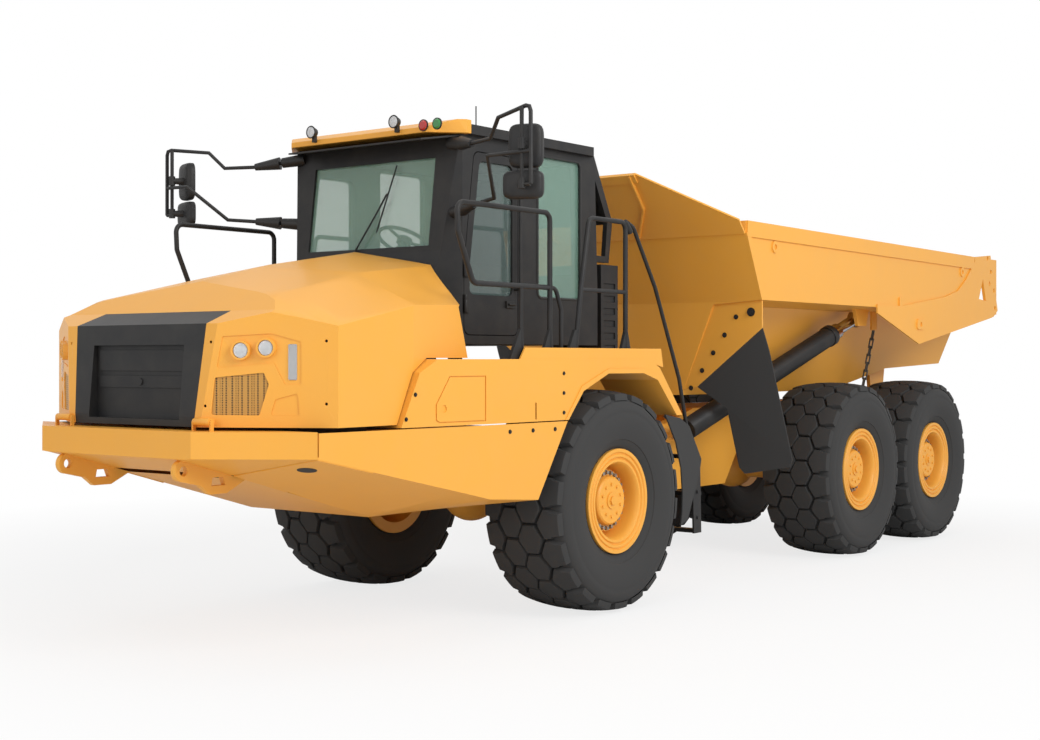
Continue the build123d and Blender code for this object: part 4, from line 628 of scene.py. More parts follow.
@dataclass
class Tyres:
    """Six wide earthmover tyres: two rows of interlocking blocks between two rows of shoulder blocks."""

    pitches: int = 22
    depth: float = 0.040
    half_gap: float = 0.010
    half_tread: float = 0.320
    crown_drop: float = 0.031
    crown_power: float = 2.4
    row_middle: float = 0.078
    row_tip: float = 0.107
    row_flat: float = 0.046
    tip_half: float = 0.07
    arc_steps: int = 4
    # How far a block's top is drawn in and over what depth, and its foot's run into the carcass and flare
    chamfer: Pair = (0.004, 0.005)
    foot: Pair = (0.004, 0.009)
    tip_gap: float = 1.3
    shoulder_gap: float = 1.2
    shoulder_lap: float = 0.012
    carcass_steps: int = 88
    seat_radius: float = 0.3185
    # Columns: how far out a row of a shoulder block lies, and its slot's width in groove widths
    shoulder: tuple[Pair, ...] = ((0.245, 1.3), (0.262, 2.6))
    # The same width at the row's near end and at the tread's edge
    shoulder_ends: Pair = (1.0, 3.4)

    def crown(self, y: float) -> float:
        """How far the tread lies below the tyre's top at a distance from its middle."""
        return self.crown_drop * (abs(y) / self.half_tread) ** self.crown_power

    def carcass(self) -> list[Pair]:
        """The tyre's section of (y, radius) points below its blocks.

        Returns:
            The points, from one bead to the other.
        """
        base = TYRE_RADIUS - self.depth
        half = [
            (0.2730, self.seat_radius), (0.2735, 0.383), (0.284, 0.396), (0.300, 0.418), (0.315, 0.446),
            (0.322, 0.450), (0.331, 0.478), (0.342, 0.515), (0.350, 0.555), (0.3545, 0.60), (0.3535, 0.632),
            (0.350, 0.650), (0.352, 0.657), (0.347, 0.684), (0.339, 0.704), (0.328, base - 0.046),
            (0.305, base - 0.028), (0.22, base - 0.013), (0.11, base - 0.002), (0.0, base),
        ]
        return half + [(-y, r) for y, r in reversed(half[:-1])]

    def on_tread(self, centre: Vector, s: float, y: float, drop: float) -> Vector:
        """A point on the tread, in pitches round and metres across.

        Args:
            centre: The wheel's middle.
            s: The place round the tyre, in pitches.
            y: The place across it.
            drop: How far below the crown it lies.

        Returns:
            The point.
        """
        angle = 2 * math.pi * s / self.pitches
        radius = TYRE_RADIUS - self.crown(y) - drop
        return centre + Vector((radius * math.cos(angle), y, radius * math.sin(angle)))

    @property
    def pitch(self) -> float:
        """The length of one pitch round the tyre."""
        return 2 * math.pi * TYRE_RADIUS / self.pitches

    def block(self, shape: Shape, centre: Vector, stations: Sequence[Point]) -> None:
        """Add one tread block.

        Args:
            shape: The piece that it is part of.
            centre: The wheel's middle.
            stations: Rows of (y, first, last), the places round in pitches.
        """
        steps = self.arc_steps
        grid = [[(first + (last - first) * i / steps, y) for i in range(steps + 1)] for y, first, last in stations]
        middle_s = sum(line[0][0] + line[-1][0] for line in grid) / (2 * len(grid))
        middle_y = sum(y for y, _, _ in stations) / len(stations)
        levels = []
        (inset, bevel), (root, flare) = self.chamfer, self.foot
        for drop, grow in ((0.0, -inset), (bevel, 0.0), (self.depth + root, flare)):
            level = []
            for line in grid:
                points = []
                for s, y in line:
                    away = Vector(((s - middle_s) * self.pitch, y - middle_y))
                    size = max(away.length, 1e-6)
                    away *= (size + grow) / size
                    points.append(self.on_tread(centre, middle_s + away.x / self.pitch, middle_y + away.y, drop))
                level.append(points)
            levels.append(level)
        top = [shape.ring(line) for line in levels[0]]
        shape.skin(top, closed=False)
        shape.skin([shape.edge(top)] + [shape.ring(shape.edge(level)) for level in levels[1:]])

    def inner_block(self, i: float, side: float) -> list[Point]:
        """Lay out one six-sided block of an inner row.

        Args:
            i: The middle's place round the tyre, in pitches.
            side: 1 for the half of the tread nearer the machine's left, -1 for the other.

        Returns:
            The stations of (y, first, last).
        """
        tip = self.row_tip - self.half_gap * self.tip_gap
        reach = 0.5 - self.half_gap / self.pitch
        return [(side * (self.row_middle + y), i - half, i + half)
                for y, half in ((-tip, self.tip_half), (-self.row_flat, reach), (self.row_flat, reach),
                                (tip, self.tip_half))]

    def shoulder_block(self, i: float, side: float) -> list[Point]:
        """Lay out one block of an outer row, beside slots that widen outwards.

        Args:
            i: The middle's place round the tyre, in pitches.
            side: 1 for the half of the tread nearer the machine's left, -1 for the other.

        Returns:
            The stations of (y, first, last).
        """
        inner, (near, edge) = 2 * self.row_middle, self.shoulder_ends
        rows = ((inner + self.row_flat, near), *self.shoulder, (self.half_tread, edge))
        stations = [(inner + self.half_gap * self.shoulder_gap - self.shoulder_lap, self.tip_half)]
        stations += [(y, 0.5 - width * self.half_gap / self.pitch) for y, width in rows]
        return [(side * y, i - half, i + half) for y, half in stations]

    def build(self, place: str, side: str) -> None:
        """Build one tyre.

        Args:
            place: Which axle it is on.
            side: Which side it is on.
        """
        centre = wheel_centre(place, side)
        shape = Shape(f"tread_{place}_{side}").use(Palette.RUBBER)
        shape.turned(self.carcass(), centre, self.carcass_steps)
        for i in range(self.pitches):
            for edge, shift in ((1.0, 0.0), (-1.0, 0.5)):
                self.block(shape, centre, self.inner_block(i + shift, edge))
                self.block(shape, centre, self.shoulder_block(i + shift + 0.5, edge))
        tyre = shape.build(f"wheel_{place}_{side}", 30)
        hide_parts(f"tyre_{place}_{side}")

    def build_all(self) -> None:
        """Build the six tyres."""
        for place in AXLES:
            for side in SIDES:
                self.build(place, side)
        LOG.info("tyres: %d blocks each", self.pitches * 4)


@dataclass(frozen=True)
class StudRing:
    """A ring of nuts or screws on a wheel, each with its washer."""

    count: int
    radius: float
    face: float
    size: float
    height: float
    shift: float = 0.0
    # The washer's share of the nut's radius, and its thickness
    washer: Pair = (1.25, 0.003)

    def add(self, shape: Shape, centre: Vector, out: float) -> None:
        """Add the ring to a piece.

        Args:
            shape: The piece.
            centre: The wheel's middle.
            out: 1 on the left side, -1 on the right.
        """
        share, thickness = self.washer
        for k in range(self.count):
            angle = 2 * math.pi * (k + self.shift) / self.count
            foot = centre + Vector((self.radius * math.cos(angle), out * self.face, self.radius * math.sin(angle)))
            shape.rod(foot, foot + Vector((0, out * thickness, 0)), self.size * share, 16)
            shape.rod(foot, foot + Vector((0, out * self.height, 0)), self.size, 6)


@dataclass
class WheelHardware:
    """The nuts on each rim's ring, the screws of its hub cover and its filler plug."""

    nuts: StudRing = StudRing(24, 0.203, 0.188, 0.0145, 0.020)
    screws: StudRing = StudRing(10, 0.118, 0.238, 0.011, 0.010, shift=0.5)
    # Columns: height, radius and sides of the plug and of the boss round it
    plug: tuple[tuple[float, float, int], ...] = ((0.022, 0.034, 6), (0.008, 0.060, 32))

    def build(self, place: str, side: str) -> None:
        """Dress one rim.

        Args:
            place: Which axle it is on.
            side: Which side it is on.
        """
        out, centre = SIDES[side], wheel_centre(place, side)
        shape = Shape(f"wheel_nuts_{place}_{side}").use(Palette.ZINC)
        self.nuts.add(shape, centre, out)
        self.screws.add(shape.use(Palette.YELLOW), centre, out)
        face = centre + Vector((0, out * self.screws.face, 0))
        for height, radius, sides in self.plug:
            shape.rod(face, face + Vector((0, out * height, 0)), radius, sides)
        hardware = shape.build(f"wheel_{place}_{side}", 30, bevel=0.001)

    def build_all(self) -> None:
        """Dress the six rims."""
        for place in AXLES:
            for side in SIDES:
                self.build(place, side)
        LOG.info("wheel hardware: %d nuts a wheel", self.nuts.count)


# Cab

@dataclass(frozen=True)
class Cushion:
    """One padded block of the seat, crowned and sewn."""

    name: str
    middle: Point
    size: tuple[float, float, float]
    crown: float
    channels: tuple[float, ...]
    lean: float = 0.0
    steps: int = 28
    pull: float = 0.035
    groove: float = 0.010
    groove_width: float = 0.045
    squareness: int = 7
    underside: float = 0.8
    seam_weld: float = 0.0002

    def height(self, u: float, v: float) -> float:
        """Work out half the cushion's thickness at one place.

        Args:
            u: The place along it, -1 to 1.
            v: The place across it, -1 to 1.

        Returns:
            Half the thickness.
        """
        edge = math.sqrt(max(0.0, (1 - abs(u) ** self.squareness) * (1 - abs(v) ** self.squareness)))
        crown = self.crown * (1 - u * u) * (1 - v * v)
        seam = sum(self.groove * math.exp(-((v - c) / self.groove_width) ** 2) for c in self.channels)
        return (self.size[2] / 2 + crown - seam * (1 - u ** 6)) * edge

    def build(self, base: float) -> None:
        """Build the cushion.

        Args:
            base: The height that the cushion's middle is measured from.
        """
        shape = Shape(self.name).use(Palette.FABRIC)
        turn = Quaternion((0, 1, 0), math.radians(self.lean))
        x, y, z = self.middle
        middle = row(x, y, base + z)
        marks = [math.sin(math.pi / 2 * (2 * i / self.steps - 1)) for i in range(self.steps + 1)]
        for sign, share in ((1.0, 1.0), (-1.0, self.underside)):
            shape.skin([shape.ring(middle + turn @ Vector((
                self.size[0] / 2 * u * (1 - self.pull * (1 - v * v)),
                self.size[1] / 2 * v * (1 - self.pull * (1 - u * u)),
                sign * self.height(u, v) * share)) for v in marks) for u in marks], closed=False)
        bmesh.ops.remove_doubles(shape.mesh, verts=shape.mesh.verts, dist=self.seam_weld)
        made = shape.build("front", 60)


@dataclass
class CabInside:
    """The driver's seat, console and steering wheel."""

    floor: float = 1.9903
    # Low and high corners: seat foot, post and base, dashboard with its top, side consoles
    boxes: tuple[tuple[Point, Point], ...] = (
        ((-0.02, -0.20, 0.00), (0.32, 0.20, 0.10)), ((0.02, -0.16, 0.10), (0.28, 0.16, 0.34)),
        ((-0.04, -0.22, 0.34), (0.36, 0.22, 0.38)),
        ((0.90, -0.42, 0.00), (1.12, 0.42, 0.50)), ((0.86, -0.36, 0.50), (1.11, 0.36, 0.56)),
        ((-0.10, 0.29, 0.00), (0.42, 0.42, 0.55)), ((-0.10, -0.42, 0.00), (0.42, -0.29, 0.55)),
    )
    cushions: tuple[Cushion, ...] = (
        Cushion("seat_cushion", (0.195, 0, 0.44), (0.50, 0.50, 0.10), 0.022, (-0.45, 0.45)),
        Cushion("seat_back", (-0.10, 0, 0.82), (0.62, 0.48, 0.10), 0.020, (-0.45, 0.45), -80),
        Cushion("seat_headrest", (-0.155, 0, 1.17), (0.16, 0.28, 0.085), 0.012, (), -80),
    )
    column_foot: Point = (0.90, 0.0, 0.50)
    column_radius: float = 0.035
    wheel_place: Point = (0.780, 0.0, 2.705)
    wheel_axis: Point = (-0.110, 0.0, 0.200)
    wheel_radius: float = 0.200
    rim_radius: float = 0.015
    hub_radius: float = 0.055
    hub_ends: Pair = (-0.02, 0.03)
    spokes: tuple[float, ...] = (0.5, 2.64, 4.71)
    spoke_radii: Pair = (0.013, 0.010)

    def above_floor(self, place: Point) -> Vector:
        """A point whose height is measured from the cab's floor."""
        return row(place[0], place[1], self.floor + place[2])

    def steering_wheel(self, shape: Shape) -> None:
        """Add the steering wheel and its column.

        Args:
            shape: The piece that it is part of.
        """
        hub, axis = row(*self.wheel_place), Vector(self.wheel_axis).normalized()
        shape.rod(self.above_floor(self.column_foot), hub, self.column_radius, 20)
        low, high = self.hub_ends
        shape.rod(hub + axis * low, hub + axis * high, self.hub_radius, 24)
        shape.hoop(hub, axis, self.wheel_radius, self.rim_radius, 48)
        side = Vector((0, 1, 0))
        up = axis.cross(side).normalized()
        near, far = self.spoke_radii
        for a in self.spokes:
            out = side * math.cos(a) + up * math.sin(a)
            shape.rod(hub, hub + out * self.wheel_radius, near, 12, far)

    def build(self) -> None:
        """Build the fittings and the padded seat."""
        shape = Shape("cab_fittings").use(Palette.PLASTIC)
        for low, high in self.boxes:
            shape.box(self.above_floor(low), self.above_floor(high))
        self.steering_wheel(shape)
        fittings = shape.build("front", 35, bevel=0.006)
        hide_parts("cab_inside")
        for cushion in self.cushions:
            cushion.build(self.floor)
        LOG.info("cab inside: fittings and %d cushions", len(self.cushions))


@dataclass
class CabTrim:
    """The wiper, the door's handle and grab rail, and the window seals."""

    wiper_arm: tuple[Point, ...] = ((1.206, -0.10, 2.606), (1.170, 0.10, 2.90), (1.152, 0.17, 3.02))
    wiper_arm_radius: float = 0.007
    wiper_pivot: Bar = Bar((1.19, -0.10, 2.60), (1.215, -0.10, 2.606), 0.018, 16)
    wiper_blade: Bar = Bar((1.188, 0.10, 2.74), (1.118, 0.235, 3.22), 0.006, 8)
    handle_plate: tuple[Point, Point] = ((0.500, 0.809, 2.205), (0.600, 0.826, 2.255))
    # The handle's bar, the grab rail's two stays and the rail
    door_bars: tuple[Bar, ...] = (
        Bar((0.515, 0.832, 2.23), (0.585, 0.832, 2.23), 0.009),
        Bar((0.487, 0.808, 2.34), (0.487, 0.860, 2.34), 0.010),
        Bar((0.487, 0.808, 3.05), (0.487, 0.860, 3.05), 0.010),
        Bar((0.487, 0.860, 2.32), (0.487, 0.860, 3.07), 0.012, 14),
    )
    seal_y: float = 0.8105
    seal_radius: float = 0.009
    seal_corner: float = 0.045
    corner_steps: int = 4
    # Columns: rear, front, low and high edge of a side window
    rear_window: Four = (-0.330, 0.215, 2.290, 3.340)
    front_window: Four = (0.515, 1.000, 2.290, 3.230)

    def wiper(self) -> None:
        """Build the windscreen's wiper."""
        shape = Shape("wiper").use(Palette.BLACK)
        self.wiper_pivot.add(shape)
        shape.tube([row(*p) for p in self.wiper_arm], self.wiper_arm_radius, 8)
        self.wiper_blade.add(shape)
        shape.build("front", 35)

    def door(self) -> None:
        """Build the door's handle and its grab rail."""
        shape = Shape("door_handle").use(Palette.BLACK)
        low, high = self.handle_plate
        shape.box(row(*low), row(*high))
        for bar in self.door_bars:
            bar.add(shape)
        shape.build("door", 35, bevel=0.002)

    def seals(self) -> None:
        """Lay the rubber seals round the side windows that don't move."""
        shape = Shape("window_seals").use(Palette.FLAP)
        self.seal(shape, SIDES["left"], *self.rear_window)
        self.seal(shape, SIDES["right"], *self.rear_window)
        self.seal(shape, SIDES["right"], *self.front_window)
        shape.build("front", 35)

    def seal(self, shape: Shape, side: float, rear: float, front: float, low: float, high: float) -> None:
        """Add one rounded frame of rubber round a window.

        Args:
            shape: The piece that it is part of.
            side: 1 on the left, -1 on the right.
            rear: The window's rear edge.
            front: Its front edge.
            low: Its lower edge.
            high: Its upper edge.
        """
        r = self.seal_corner
        points = []
        for x, z, start in ((front - r, high - r, 0), (rear + r, high - r, 90),
                            (rear + r, low + r, 180), (front - r, low + r, 270)):
            for k in range(self.corner_steps + 1):
                a = math.radians(start + 90 * k / self.corner_steps)
                points.append(row(x + r * math.cos(a), self.seal_y, z + r * math.sin(a), side))
        shape.tube(points + points[:1], self.seal_radius, 8)

    def build(self) -> None:
        """Build all of the cab's trim."""
        self.wiper()
        self.door()
        self.seals()
        LOG.info("cab trim ready")


@dataclass(frozen=True)
class MirrorHead:
    """One rounded mirror: its middle on the left side, half its width and half its height."""

    middle: Point
    half_width: float
    half_height: float


@dataclass
class Mirrors:
    """Two rounded mirror heads on a bent frame, either side of the cab."""

    turn: float = 20.0
    tube: float = 0.014
    squareness: float = 5.0
    steps: int = 48
    heads: tuple[MirrorHead, ...] = (MirrorHead((1.443, 1.643, 3.205), 0.115, 0.142),
                                     MirrorHead((1.457, 1.632, 2.955), 0.135, 0.092))
    upper_arm: tuple[Point, ...] = (
        (1.090, 0.720, 3.340), (1.280, 1.060, 3.290), (1.375, 1.2965, 3.290), (1.434, 1.408, 3.410),
        (1.540, 1.715, 3.444), (1.547, 1.748, 3.436), (1.547, 1.759, 3.405), (1.547, 1.760, 2.945))
    lower_arm: tuple[Point, ...] = (
        (1.090, 0.720, 2.850), (1.260, 1.070, 2.880), (1.340, 1.300, 2.900), (1.608, 1.457, 3.140),
        (1.547, 1.756, 3.155))
    inner_bar: tuple[Point, ...] = ((1.547, 1.756, 2.945), (1.554, 1.693, 2.945), (1.554, 1.693, 3.438))
    # Columns: how far in front of the head's middle a ring lies, and its share of the full size
    shell: tuple[Pair, ...] = (
        (-0.014, 0.93), (-0.022, 0.955), (-0.018, 1.0), (0.006, 1.0), (0.022, 0.975), (0.034, 0.90), (0.041, 0.70))
    # Columns: start and end as shares of an arm's first run, and the radius at each
    joints: tuple[Four, ...] = ((0.0, 0.45, 0.046, 0.038), (0.50, 1.0, 0.048, 0.026))
    arm_reach: float = 0.020
    arm_radii: Pair = (0.022, 0.030)
    clamp_half: float = 0.035
    clamp_radius: float = 0.024

    def ring(self, shape: Shape, side: float, head: MirrorHead, depth: float, share: float) -> Line:
        """One rounded outline of a mirror head.

        Args:
            shape: The piece that it is part of.
            side: 1 on the left, -1 on the right.
            head: The mirror head.
            depth: How far in front of its middle the outline lies.
            share: The outline's share of the full size.

        Returns:
            The outline's vertices.
        """
        angle = math.radians(self.turn)
        ahead = Vector((math.cos(angle), side * math.sin(angle), 0))
        across = Vector((-side * math.sin(angle), math.cos(angle), 0))
        centre = row(*head.middle, side) + ahead * depth
        points = []
        for a in round_angles(self.steps):
            u, v = math.cos(a), math.sin(a)
            reach = share * (abs(u) ** self.squareness + abs(v) ** self.squareness) ** (-1 / self.squareness)
            points.append(centre + across * (u * reach * head.half_width) + UP * (v * reach * head.half_height))
        return shape.ring(points)

    def head(self, shape: Shape, side: float, head: MirrorHead) -> None:
        """Add one mirror head: its shell, the glass in its back and its clamp on the inner bar.

        Args:
            shape: The piece that it is part of.
            side: 1 on the left, -1 on the right.
            head: The mirror head.
        """
        rings = [self.ring(shape, side, head, depth, share) for depth, share in self.shell]
        shape.use(Palette.BLACK).skin(rings)
        shape.face(rings[-1])
        shape.use(Palette.MIRROR).face(rings[0][::-1])
        shape.use(Palette.BLACK)
        (x, y, z), (bar_x, bar_y, _) = head.middle, self.inner_bar[1]
        near, far = self.arm_radii
        shape.rod(row(bar_x, bar_y, z, side), row(x + self.arm_reach, y, z, side), near, 16, far)
        shape.rod(row(bar_x, bar_y, z - self.clamp_half, side), row(bar_x, bar_y, z + self.clamp_half, side),
                  self.clamp_radius, 16)

    def build(self) -> None:
        """Build both sides."""
        shape = Shape("mirror_set").use(Palette.BLACK)
        for side in SIDES.values():
            for line in (self.upper_arm, self.lower_arm, self.inner_bar):
                shape.tube([row(*p, side) for p in line], self.tube, 12)
            for line in (self.upper_arm, self.lower_arm):
                near, far = (row(*p, side) for p in line[:2])
                for start, end, radius, end_radius in self.joints:
                    shape.rod(near.lerp(far, start), near.lerp(far, end), radius, 16, end_radius)
            for head in self.heads:
                self.head(shape, side, head)
        mirrors = shape.build("front", 40)
        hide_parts("mirrors")
        LOG.info("mirrors: %d heads a side", len(self.heads))


# Guards, clamps and fairings

@dataclass
class Guards:
    """The mudguards behind the front wheels and the clamps of the long rails."""

    outline: tuple[Pair, ...] = (
        (-0.600, 1.420), (-0.820, 1.386), (-0.951, 1.321), (-1.131, 1.056), (-1.115, 0.994), (-0.930, 0.597),
        (-0.825, 0.560), (-0.845, 0.660), (-0.852, 0.810), (-0.832, 1.000), (-0.758, 1.200), (-0.645, 1.360))
    face: float = 1.392
    thickness: float = 0.014
    top_clamp: Bar = Bar((-0.112, 1.360, 2.845), (-0.190, 1.360, 2.770), 0.024, 16)
    foot_clamp: tuple[Point, Point] = ((-1.100, 1.340, 0.960), (-1.050, 1.393, 1.000))

    def build(self) -> None:
        """Build both sides."""
        guards = Shape("wheel_guards").use(Palette.FLAP)
        clamps = Shape("rail_clamps").use(Palette.BLACK)
        for side in SIDES.values():
            guards.slab([row(x, self.face, z, side) for x, z in self.outline], Vector((0, side * self.thickness, 0)))
            self.top_clamp.add(clamps, side)
            low, high = (row(*corner, side) for corner in self.foot_clamp)
            clamps.box(low, high)
        guards.build("front", 30, bevel=0.004)
        clamps.build("front", 30, bevel=0.003)
        LOG.info("wheel guards and rail clamps ready")


@dataclass
class BellyFairings:
    """Thin plates that close the belly's slopes behind the bumper, each with a dark disc of painted shade for its
    drain hole.
    """

    # The slope's inner and outer corner at the bumper, and where the belly is lowest
    front: tuple[Point, Point] = ((2.976, 0.590, 1.1359), (2.976, 1.310, 1.260))
    rear: tuple[Point, Point] = ((1.770, 0.570, 0.785), (1.770, 1.384, 0.990))
    reach: float = 0.36
    edge_gap: float = 0.004
    grid: tuple[int, int] = (10, 8)
    layers: Pair = (0.006, -0.002)
    # The drain hole is not cut: a thin dark disc on the plate paints its shade
    drain: Pair = (0.110, 0.68)
    drain_radius: float = 0.060
    drain_lower: float = 0.0055
    drain_shade_thickness: float = 0.0025
    drain_step: float = 0.05

    def under(self, back: float, across: float, lower: float, side: float) -> Vector:
        """A point under the belly's sloping side.

        Args:
            back: The share of the way back from the bumper, 0 to 1.
            across: The share of the way out from the keel, 0 to 1.
            lower: How far below the belly it lies.
            side: 1 on the left, -1 on the right.

        Returns:
            The point.
        """
        near, far = (Vector(inner).lerp(Vector(outer), across) for inner, outer in (self.front, self.rear))
        x, y, z = near.lerp(far, back)
        return row(x, y, z - lower, side)

    def plate(self, shape: Shape, side: float) -> None:
        """Add one side's plate.

        Args:
            shape: The piece that it is part of.
            side: 1 on the left, -1 on the right.
        """
        long, wide = self.grid
        layers = [[shape.ring(self.under(self.reach * i / long, self.edge_gap + (1 - 2 * self.edge_gap) * k / wide,
                                         lower, side) for k in range(wide + 1)) for i in range(long + 1)]
                  for lower in self.layers]
        for rows in layers:
            shape.skin(rows, closed=False)
        shape.bridge(shape.edge(layers[0]), shape.edge(layers[1]))

    def add_drain_hole_shade(self, shape: Shape, side: float) -> None:
        """Add one side's drain hole as painted shade: a dark disc square to the plate, standing in for the hole's dark
        inside.

        Args:
            shape: The piece that it is part of.
            side: 1 on the left, -1 on the right.
        """
        back, across = self.drain
        spot, behind, beside = (self.under(back + b, across + a, self.drain_lower, side)
                                for b, a in ((0, 0), (self.drain_step, 0), (0, self.drain_step)))
        out = (behind - spot).cross(beside - spot).normalized()
        if out.z > 0:
            out.negate()
        shape.rod(spot, spot + out * self.drain_shade_thickness, self.drain_radius, 32)

    def build(self) -> None:
        """Build both sides."""
        shape = Shape("belly_fairings")
        for side in SIDES.values():
            self.plate(shape.use(Palette.YELLOW), side)
            # Painted shade: the drain hole is a disc of dark tyre rubber on the plate
            self.add_drain_hole_shade(shape.use(Palette.RUBBER), side)
        shape.build("front", 30)
        LOG.info("belly fairings ready")


# Lamps

@dataclass
class PodLamps:
    """The round headlamps and slim lamps in the hood's pods."""

    panel_start: Pair = (3.260, 0.632)
    panel_end: Pair = (2.835, 1.333)
    # Columns: how far along the panel a lamp lies, and its height
    lamps: tuple[Pair, ...] = ((0.240, 1.889), (0.391, 1.904))
    radius: float = 0.0455
    bowl_back: float = -0.030
    bowl_front: float = 0.012
    bowl_radius: float = 0.018
    bulb_front: float = 0.004
    bulb_radius: float = 0.008
    # Columns: how far in front of the panel the lens reaches, and its share of the lamp's radius
    lens: tuple[Pair, ...] = ((0.012, 1.0), (0.019, 0.9), (0.0225, 0.5))
    # The slim lamp's near and far edge along the panel, its foot and its top
    slim: Four = (0.5203, 0.5737, 1.7153, 1.9257)
    slim_depth: Pair = (-0.028, 0.004)

    def place(self, along: float, z: float, out: float, side: float) -> Vector:
        """A point on a front panel.

        Args:
            along: How far along the panel it lies from the nose.
            z: Its height.
            out: How far in front of the panel it stands.
            side: 1 on the left, -1 on the right.

        Returns:
            The point.
        """
        run = (Vector(self.panel_end) - Vector(self.panel_start)).normalized()
        spot = Vector(self.panel_start) + run * along + Vector((run.y, -run.x)) * out
        return row(spot.x, spot.y, z, side)

    def round_lamps(self) -> None:
        """Build the headlamps' bowls and lenses."""
        bowls = Shape("headlamp_bowls").use(Palette.CHROME)
        lenses = Shape("headlamp_lenses").use(Palette.LENS)
        for side in SIDES.values():
            for along, z in self.lamps:
                back = self.place(along, z, self.bowl_back, side)
                bowls.rod(back, self.place(along, z, self.bowl_front, side), self.bowl_radius, 32, self.radius)
                bowls.rod(back, self.place(along, z, self.bulb_front, side), self.bulb_radius, 12)
                for (near, wide), (far, narrow) in zip(self.lens, self.lens[1:]):
                    lenses.rod(self.place(along, z, near, side), self.place(along, z, far, side),
                               self.radius * wide, 32, self.radius * narrow)
        bowls.build("hood", 40)
        glass = lenses.build("hood", 40)
        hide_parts("headlamps")

    def slim_lamps(self) -> None:
        """Build the upright slim lamps beside the headlamps."""
        shape = Shape("slim_lamps").use(Palette.LENS)
        near, far, low, high = self.slim
        back, front = self.slim_depth
        for side in SIDES.values():
            outline = [self.place(a, z, back, side) for a, z in ((near, low), (far, low), (far, high), (near, high))]
            shape.slab(outline, self.place(near, low, front, side) - outline[0])
        shape.build("hood", 35, bevel=0.006)

    def build(self) -> None:
        """Build every lamp of the pods."""
        self.round_lamps()
        self.slim_lamps()
        LOG.info("pod lamps: %d round, %d slim", 2 * len(self.lamps), len(SIDES))


@dataclass
class RoofLamps:
    """The work lamps and round marker lamps on the roof's front face, and the aerial."""

    face: float = 1.290
    middle_z: float = 3.4475
    work_y: Pair = (0.405, -0.405)
    work_rise: float = 0.042
    work_ends: Pair = (0.008, 0.052)
    work_radii: Pair = (0.030, 0.045)
    # The bezel's radius and thickness
    bezel: Pair = (0.042, 0.005)
    bracket_half: float = 0.012
    bracket_reach: float = 0.030
    bracket_ends: Pair = (-0.030, 0.020)
    # Columns of each disc: start and end in front of its seat, and the radius at each
    reflector: Four = (0.0, 0.001, 0.041, 0.041)
    work_lens: Four = (0.0012, 0.006, 0.040, 0.033)
    marker_rim: Four = (0.0, 0.010, 0.041, 0.041)
    marker_lens: Four = (0.0102, 0.020, 0.035, 0.025)
    markers: tuple[tuple[float, Finish], ...] = ((0.640, Palette.RED), (0.765, Palette.GREEN))
    aerial_x: float = -0.060
    aerial_ends: Pair = (3.495, 3.820)
    aerial_radius: float = 0.005
    # The foot's height, and its radius below and above
    aerial_foot: tuple[float, float, float] = (0.012, 0.030, 0.022)

    @staticmethod
    def disc(shape: Shape, seat: Vector, sizes: Four, sides: int) -> None:
        """Add a flat disc that faces forward.

        Args:
            shape: The piece that it is part of.
            seat: The middle of what it sits on.
            sizes: Its start and end in front of the seat, and the radius at each.
            sides: How many sides it has.
        """
        start, end, radius, end_radius = sizes
        shape.rod(seat + FORWARD * start, seat + FORWARD * end, radius, sides, end_radius)

    def work_lamp(self, shape: Shape, y: float) -> None:
        """Add one round work lamp on its bracket.

        Args:
            shape: The piece that it is part of.
            y: Where it stands across the roof.
        """
        back, front = (row(self.face + x, y, self.middle_z + self.work_rise) for x in self.work_ends)
        near, far = self.work_radii
        shape.use(Palette.BLACK).rod(back, front, near, 28, far)
        core, thickness = self.bezel
        shape.hoop(front, FORWARD, core, thickness, 40)
        low, high = (self.middle_z + z for z in self.bracket_ends)
        shape.box(row(self.face, y - self.bracket_half, low),
                  row(self.face + self.bracket_reach, y + self.bracket_half, high))
        self.disc(shape.use(Palette.CHROME), front, self.reflector, 28)
        self.disc(shape.use(Palette.LENS), front, self.work_lens, 28)

    def aerial(self, shape: Shape) -> None:
        """Add the aerial and its foot.

        Args:
            shape: The piece that it is part of.
        """
        foot, tip = (row(self.aerial_x, 0, z) for z in self.aerial_ends)
        height, wide, narrow = self.aerial_foot
        shape.use(Palette.BLACK).rod(foot, foot + UP * height, wide, 24, narrow)
        shape.rod(foot, tip, self.aerial_radius, 12)

    def build(self) -> None:
        """Build the lamps and the aerial as one piece."""
        shape = Shape("roof_lamp_set")
        for y in self.work_y:
            self.work_lamp(shape, y)
        for y, finish in self.markers:
            seat = row(self.face, y, self.middle_z)
            self.disc(shape.use(Palette.BLACK), seat, self.marker_rim, 32)
            self.disc(shape.use(finish), seat, self.marker_lens, 32)
        self.aerial(shape)
        lamps = shape.build("front", 40)
        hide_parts("roof_lamps")
        LOG.info("roof lamps: %d work lamps, %d markers", len(self.work_y), len(self.markers))


# Bolts

@dataclass(frozen=True)
class BoltRow:
    """Evenly spaced bolt heads from one place to another, pointing one way."""

    first: Point
    last: Point
    count: int
    out: Point
    radius: float
    # The washer's share of the head's radius, and its thickness
    washer: Pair = (1.35, 0.003)
    head: float = 0.8

    def add(self, shape: Shape, side: float) -> None:
        """Add the row's heads on one side.

        Args:
            shape: The piece that it is part of.
            side: 1 on the left, -1 on the right.
        """
        x, y, z = self.out
        out = Vector((x, side * y, z)).normalized()
        share, thickness = self.washer
        for k in range(self.count):
            spot = row(*Vector(self.first).lerp(Vector(self.last), k / max(self.count - 1, 1)), side)
            shape.rod(spot, spot + out * thickness, self.radius * share, 14)
            shape.rod(spot, spot + out * self.radius * self.head, self.radius, 6)


